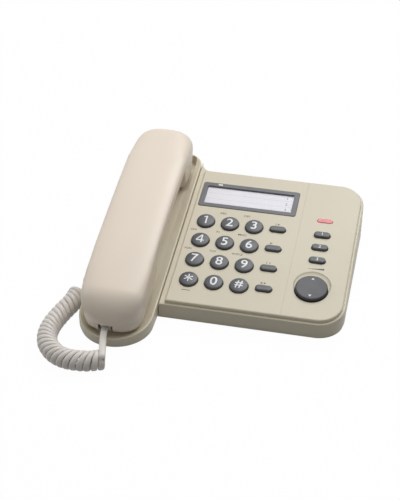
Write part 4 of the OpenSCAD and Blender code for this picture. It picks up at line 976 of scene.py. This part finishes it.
nubs = [moved(spun([(0, -5.2), (1.4, -5.2), (1.6, -5.0), (1.6, -1.7), (0, -1.7)], 20), 0, y)
        for y in (-8, 8)]
rocker = on_deck(joined([rocker] + arrows + [web, axle] + nubs), side_x, rocker_y)
rocker_grey = plastic("moulded_abs_rocker_grey", "#2c2d32", "#292a2f", 0.42, 0.03, 0.30, 0.14,
                      ior=1.54, cloud=12.0)
crisp(make_piece(rocker, "volume_rocker_disc", [rocker_grey, figure_white], "volume_rocker", "key_grey",
                 "volume_rocker"), 40)

# ------------ index card, frame and window
# A grey ABS frame clipped into the deck's pocket holds a thin clear window over a
# printed paper card with two dotted rules and the numbers of the three memory keys.
frame_grey = plastic("moulded_abs_frame_grey", "#5f6065", "#5b5c61", 0.44, 0.03, 0.35, 0.14,
                     ior=1.54, cloud=15.0)
card_low, card_top, frame_stand = -1.4, -1.1, 0.5
frame_rings = levels(pocket_outline, (0, card_low), *((-inset, frame_stand + drop)
                                                      for inset, drop in rounded(0.45)))


def window_outline(grow):
    """The opening between the frame's bars."""
    return rounded_box(frame_x + frame_bar - grow, frame_x + frame_l - frame_bar + grow,
                       frame_y + frame_bar - grow, frame_y + frame_w - frame_bar + grow,
                       0.5 + grow, 4)


bars = combined(deck_stack(frame_rings), [deck_stack(levels(
    window_outline, (0, -3), (0, 0.12), (0.12, 0.36), (0.4, 0.51), (0.5, 2)))])
tab_mark = flat_mark([(-1.7, -0.75), (1.7, -0.75), (1.7, 0.75), (-1.7, 0.75)],
                     frame_x + 13.5, frame_y + frame_w - frame_bar / 2)
tab_mark = on_deck(laid_on(tab_mark, lambda x, y: frame_stand))
crisp(make_piece(joined([bars, tab_mark]), "card_frame_bars", [frame_grey, figure_white], "base",
                 "frame_grey", "index_frame"))

card_x0, card_x1 = frame_x + frame_bar + 0.15, frame_x + frame_l - frame_bar - 0.15
card_y0, card_y1 = frame_y + frame_bar + 0.15, frame_y + frame_w - frame_bar - 0.15
paper_card = stack([level(rounded_box(card_x0, card_x1, card_y0, card_y1, 0.3, 3), z)
                    for z in (card_low, card_top)], 1)
prints = []
row_h, dot_r, dot_pitch = (card_y1 - card_y0) / 3, 0.2, 1.05
for row in (1, 2):
    for i in range(ceil((card_x1 - card_x0 - 3.5) / dot_pitch)):
        dot = bmesh.new()
        bmesh.ops.create_circle(dot, cap_ends=True, segments=8, radius=dot_r)
        prints.append(moved(dot, card_x0 + 2 + dot_pitch * i, card_y0 + row_h * row))
for i, sign in enumerate("321"):
    prints.append(moved(figures(sign, 2.6, 0.006, 0), card_x1 - 5.0, card_y0 + row_h * (i + 0.5)))
prints = laid_on(joined(prints), lambda x, y: card_top)
paper_card = on_deck(joined([paper_card, prints]))
# Uncoated paper and the ink on it: fibres a fraction of a millimetre long, no gloss.
card_paper, grey_ink = [
    finish(name, colour, shade, 0.7, detail=4.0, relief=(0.7, 4.0, 0.1, 0.02), Roughness=rough, IOR=1.48)
    for name, colour, shade, rough in (("uncoated_card_paper", "#e9e8ee", "#e2e1e8", 0.75),
                                       ("printed_grey_ink", "#8c8a90", "#7d7b82", 0.7))]
make_piece(paper_card, "card_paper_insert", [card_paper, grey_ink], "base", "card_paper", "index_card",
           smooth=False)

# Clear rigid PVC, a little wavy; it bends the light hardly at all, so that the card reads through it.
pane = deck_stack(levels(window_outline, *((-0.06, z) for z in (-1.08, -0.35, -0.25))))
clear, tree, out = new_material("clear_rigid_pvc_window")
place = add_node(tree, "ShaderNodeTexCoord").outputs["Object"]
waves = add_node(tree, "ShaderNodeTexNoise", Vector=place, Scale=1 / (8 * MM), Detail=1.0)
relief = add_node(tree, "ShaderNodeBump", Strength=0.03, Distance=0.1 * MM,
                  Height=waves.outputs["Fac"])
glass = add_node(tree, "ShaderNodeBsdfPrincipled", Base_Color=linear("#fbfcfd"), Roughness=0.08,
                 IOR=1.1, Transmission_Weight=1.0, Alpha=0.12, Normal=relief.outputs["Normal"])
tree.links.new(glass.outputs[0], out.inputs["Surface"])
make_piece(pane, "card_window_pane", [clear], "base", "window_clear", "card_window", smooth=False)

# ------------ message lamp
# A small oblong lens of dyed polystyrene that stands half a millimetre proud of the
# deck, held from below by its flange; the lamp itself sits under it on the board.
lamp_stand, lamp_crown = 0.5, 0.56
lens = deck_stack([level(oblong(lamp_l, lamp_w, grow), z) for grow, z in (
    (1, -3.0), (1, -2.25), (0, -2.25), *((-inset, lamp_stand + drop) for inset, drop in rounded(0.6)),
    (-1.2, lamp_crown))], side_x, lamp_y)
# Dyed polystyrene: glossy, and milky enough for light to spread in it.
red = finish("dyed_polystyrene_lens_red", "#e06f72", "#d95c61", 1.2, Roughness=0.22, IOR=1.59,
             Subsurface_Weight=0.35, Subsurface_Radius=(1.0, 0.35, 0.3), Subsurface_Scale=1.2 * MM)
crisp(make_piece(lens, "message_lamp_lens", [red], "base", "lens_red", "lamp_lens"), 40)

# ------------ hook, sockets and plugs
# The plunger that the earpiece holds down, the tab that keeps the handset on a wall,
# the slider of the ringer switch, the socket bodies and the cord's crimped plugs.
def dress(material, *nodes):
    """Gives the CAD nodes that stay visible their material."""
    for node in nodes:
        solid = frame["nodes"][node]
        if not solid.material_slots:
            solid.data.materials.append(material)
        for holder in solid.material_slots:
            holder.material = material


dress(ivory, "hook_plunger", "hanger_tab")
dress(key_grey, "ringer_switch")
# Glass-filled PBT, dull black, of the sockets, the hook switch and the capsule's body.
black = plastic("glass_filled_black_pbt", "#1f1f20", "#2a2a2b", 0.5, 0.06, 0.25, 0.2, cloud=3.0)
dress(black, "hook_switch", "line_jack", "cord_jack", "handset_jack", "receiver_capsule")
# Clear polycarbonate of the modular plugs, with the jacket's colour showing through.
plug_clear = plastic("clear_polycarbonate_plug", "#c9c9c6", "#bcbcb8", 0.12, 0.03, 0.4, 0.04,
                     ior=1.585, coat=0.5, cloud=2.0)
dress(plug_clear, "handset_plug", "base_plug")

# ------------ base pan, feet and inner parts
# The lower half of the case with its keyholes and sound slots, four rubber feet, and
# what the case holds: board, mats, speaker, steel plate, weight, capsules and screws.
dress(ivory, "base_pan")
# Black nitrile rubber of the feet, dusty and dull.
rubber = plastic("moulded_nitrile_rubber", "#2a2a2a", "#353433", 0.78, 0.08, 0.35, 0.3, cloud=3.0)
silicone = plastic("translucent_silicone_rubber", "#b9bab6", "#a9aaa6", 0.62, 0.05, 0.5, 0.1,
                   cloud=5.0, subsurface=0.2)
dress(silicone, "keypad_mat", "side_mat", "receiver_gasket")
dress(rubber, "rubber_feet")
# Green solder mask over glass-fibre laminate.
mask = plastic("green_solder_mask_laminate", "#2f5a3b", "#274d32", 0.30, 0.04, 0.8, 0.08, cloud=7.0)
dress(mask, "main_board")
# Zinc-plated steel: bright, its shade wandering a little, with a fine rolled relief.
dress(finish("zinc_plated_steel", "#b9bbbd", "#a4a6a8", 8, detail=4.0, relief=(0.3, 2.0, 0.1, 0.02),
             Metallic=1.0, Roughness=0.34),
      "ballast_plate", "case_screws", "board_screws", "handset_weight", "handset_screws",
      "microphone_capsule")
# Speaker: black painted steel basket with a paper cone.
dress(plastic("black_painted_steel_and_paper", "#2b2b2c", "#353536", 0.55, 0.06, 0.5, 0.2, cloud=4.0),
      "ringer_speaker")
# The lamp's own package: clear epoxy with a faint tint.
dress(plastic("clear_epoxy_lamp", "#d9cfcf", "#cdc2c2", 0.12, 0.03, 0.4, 0.03, cloud=2.0), "lamp_led")
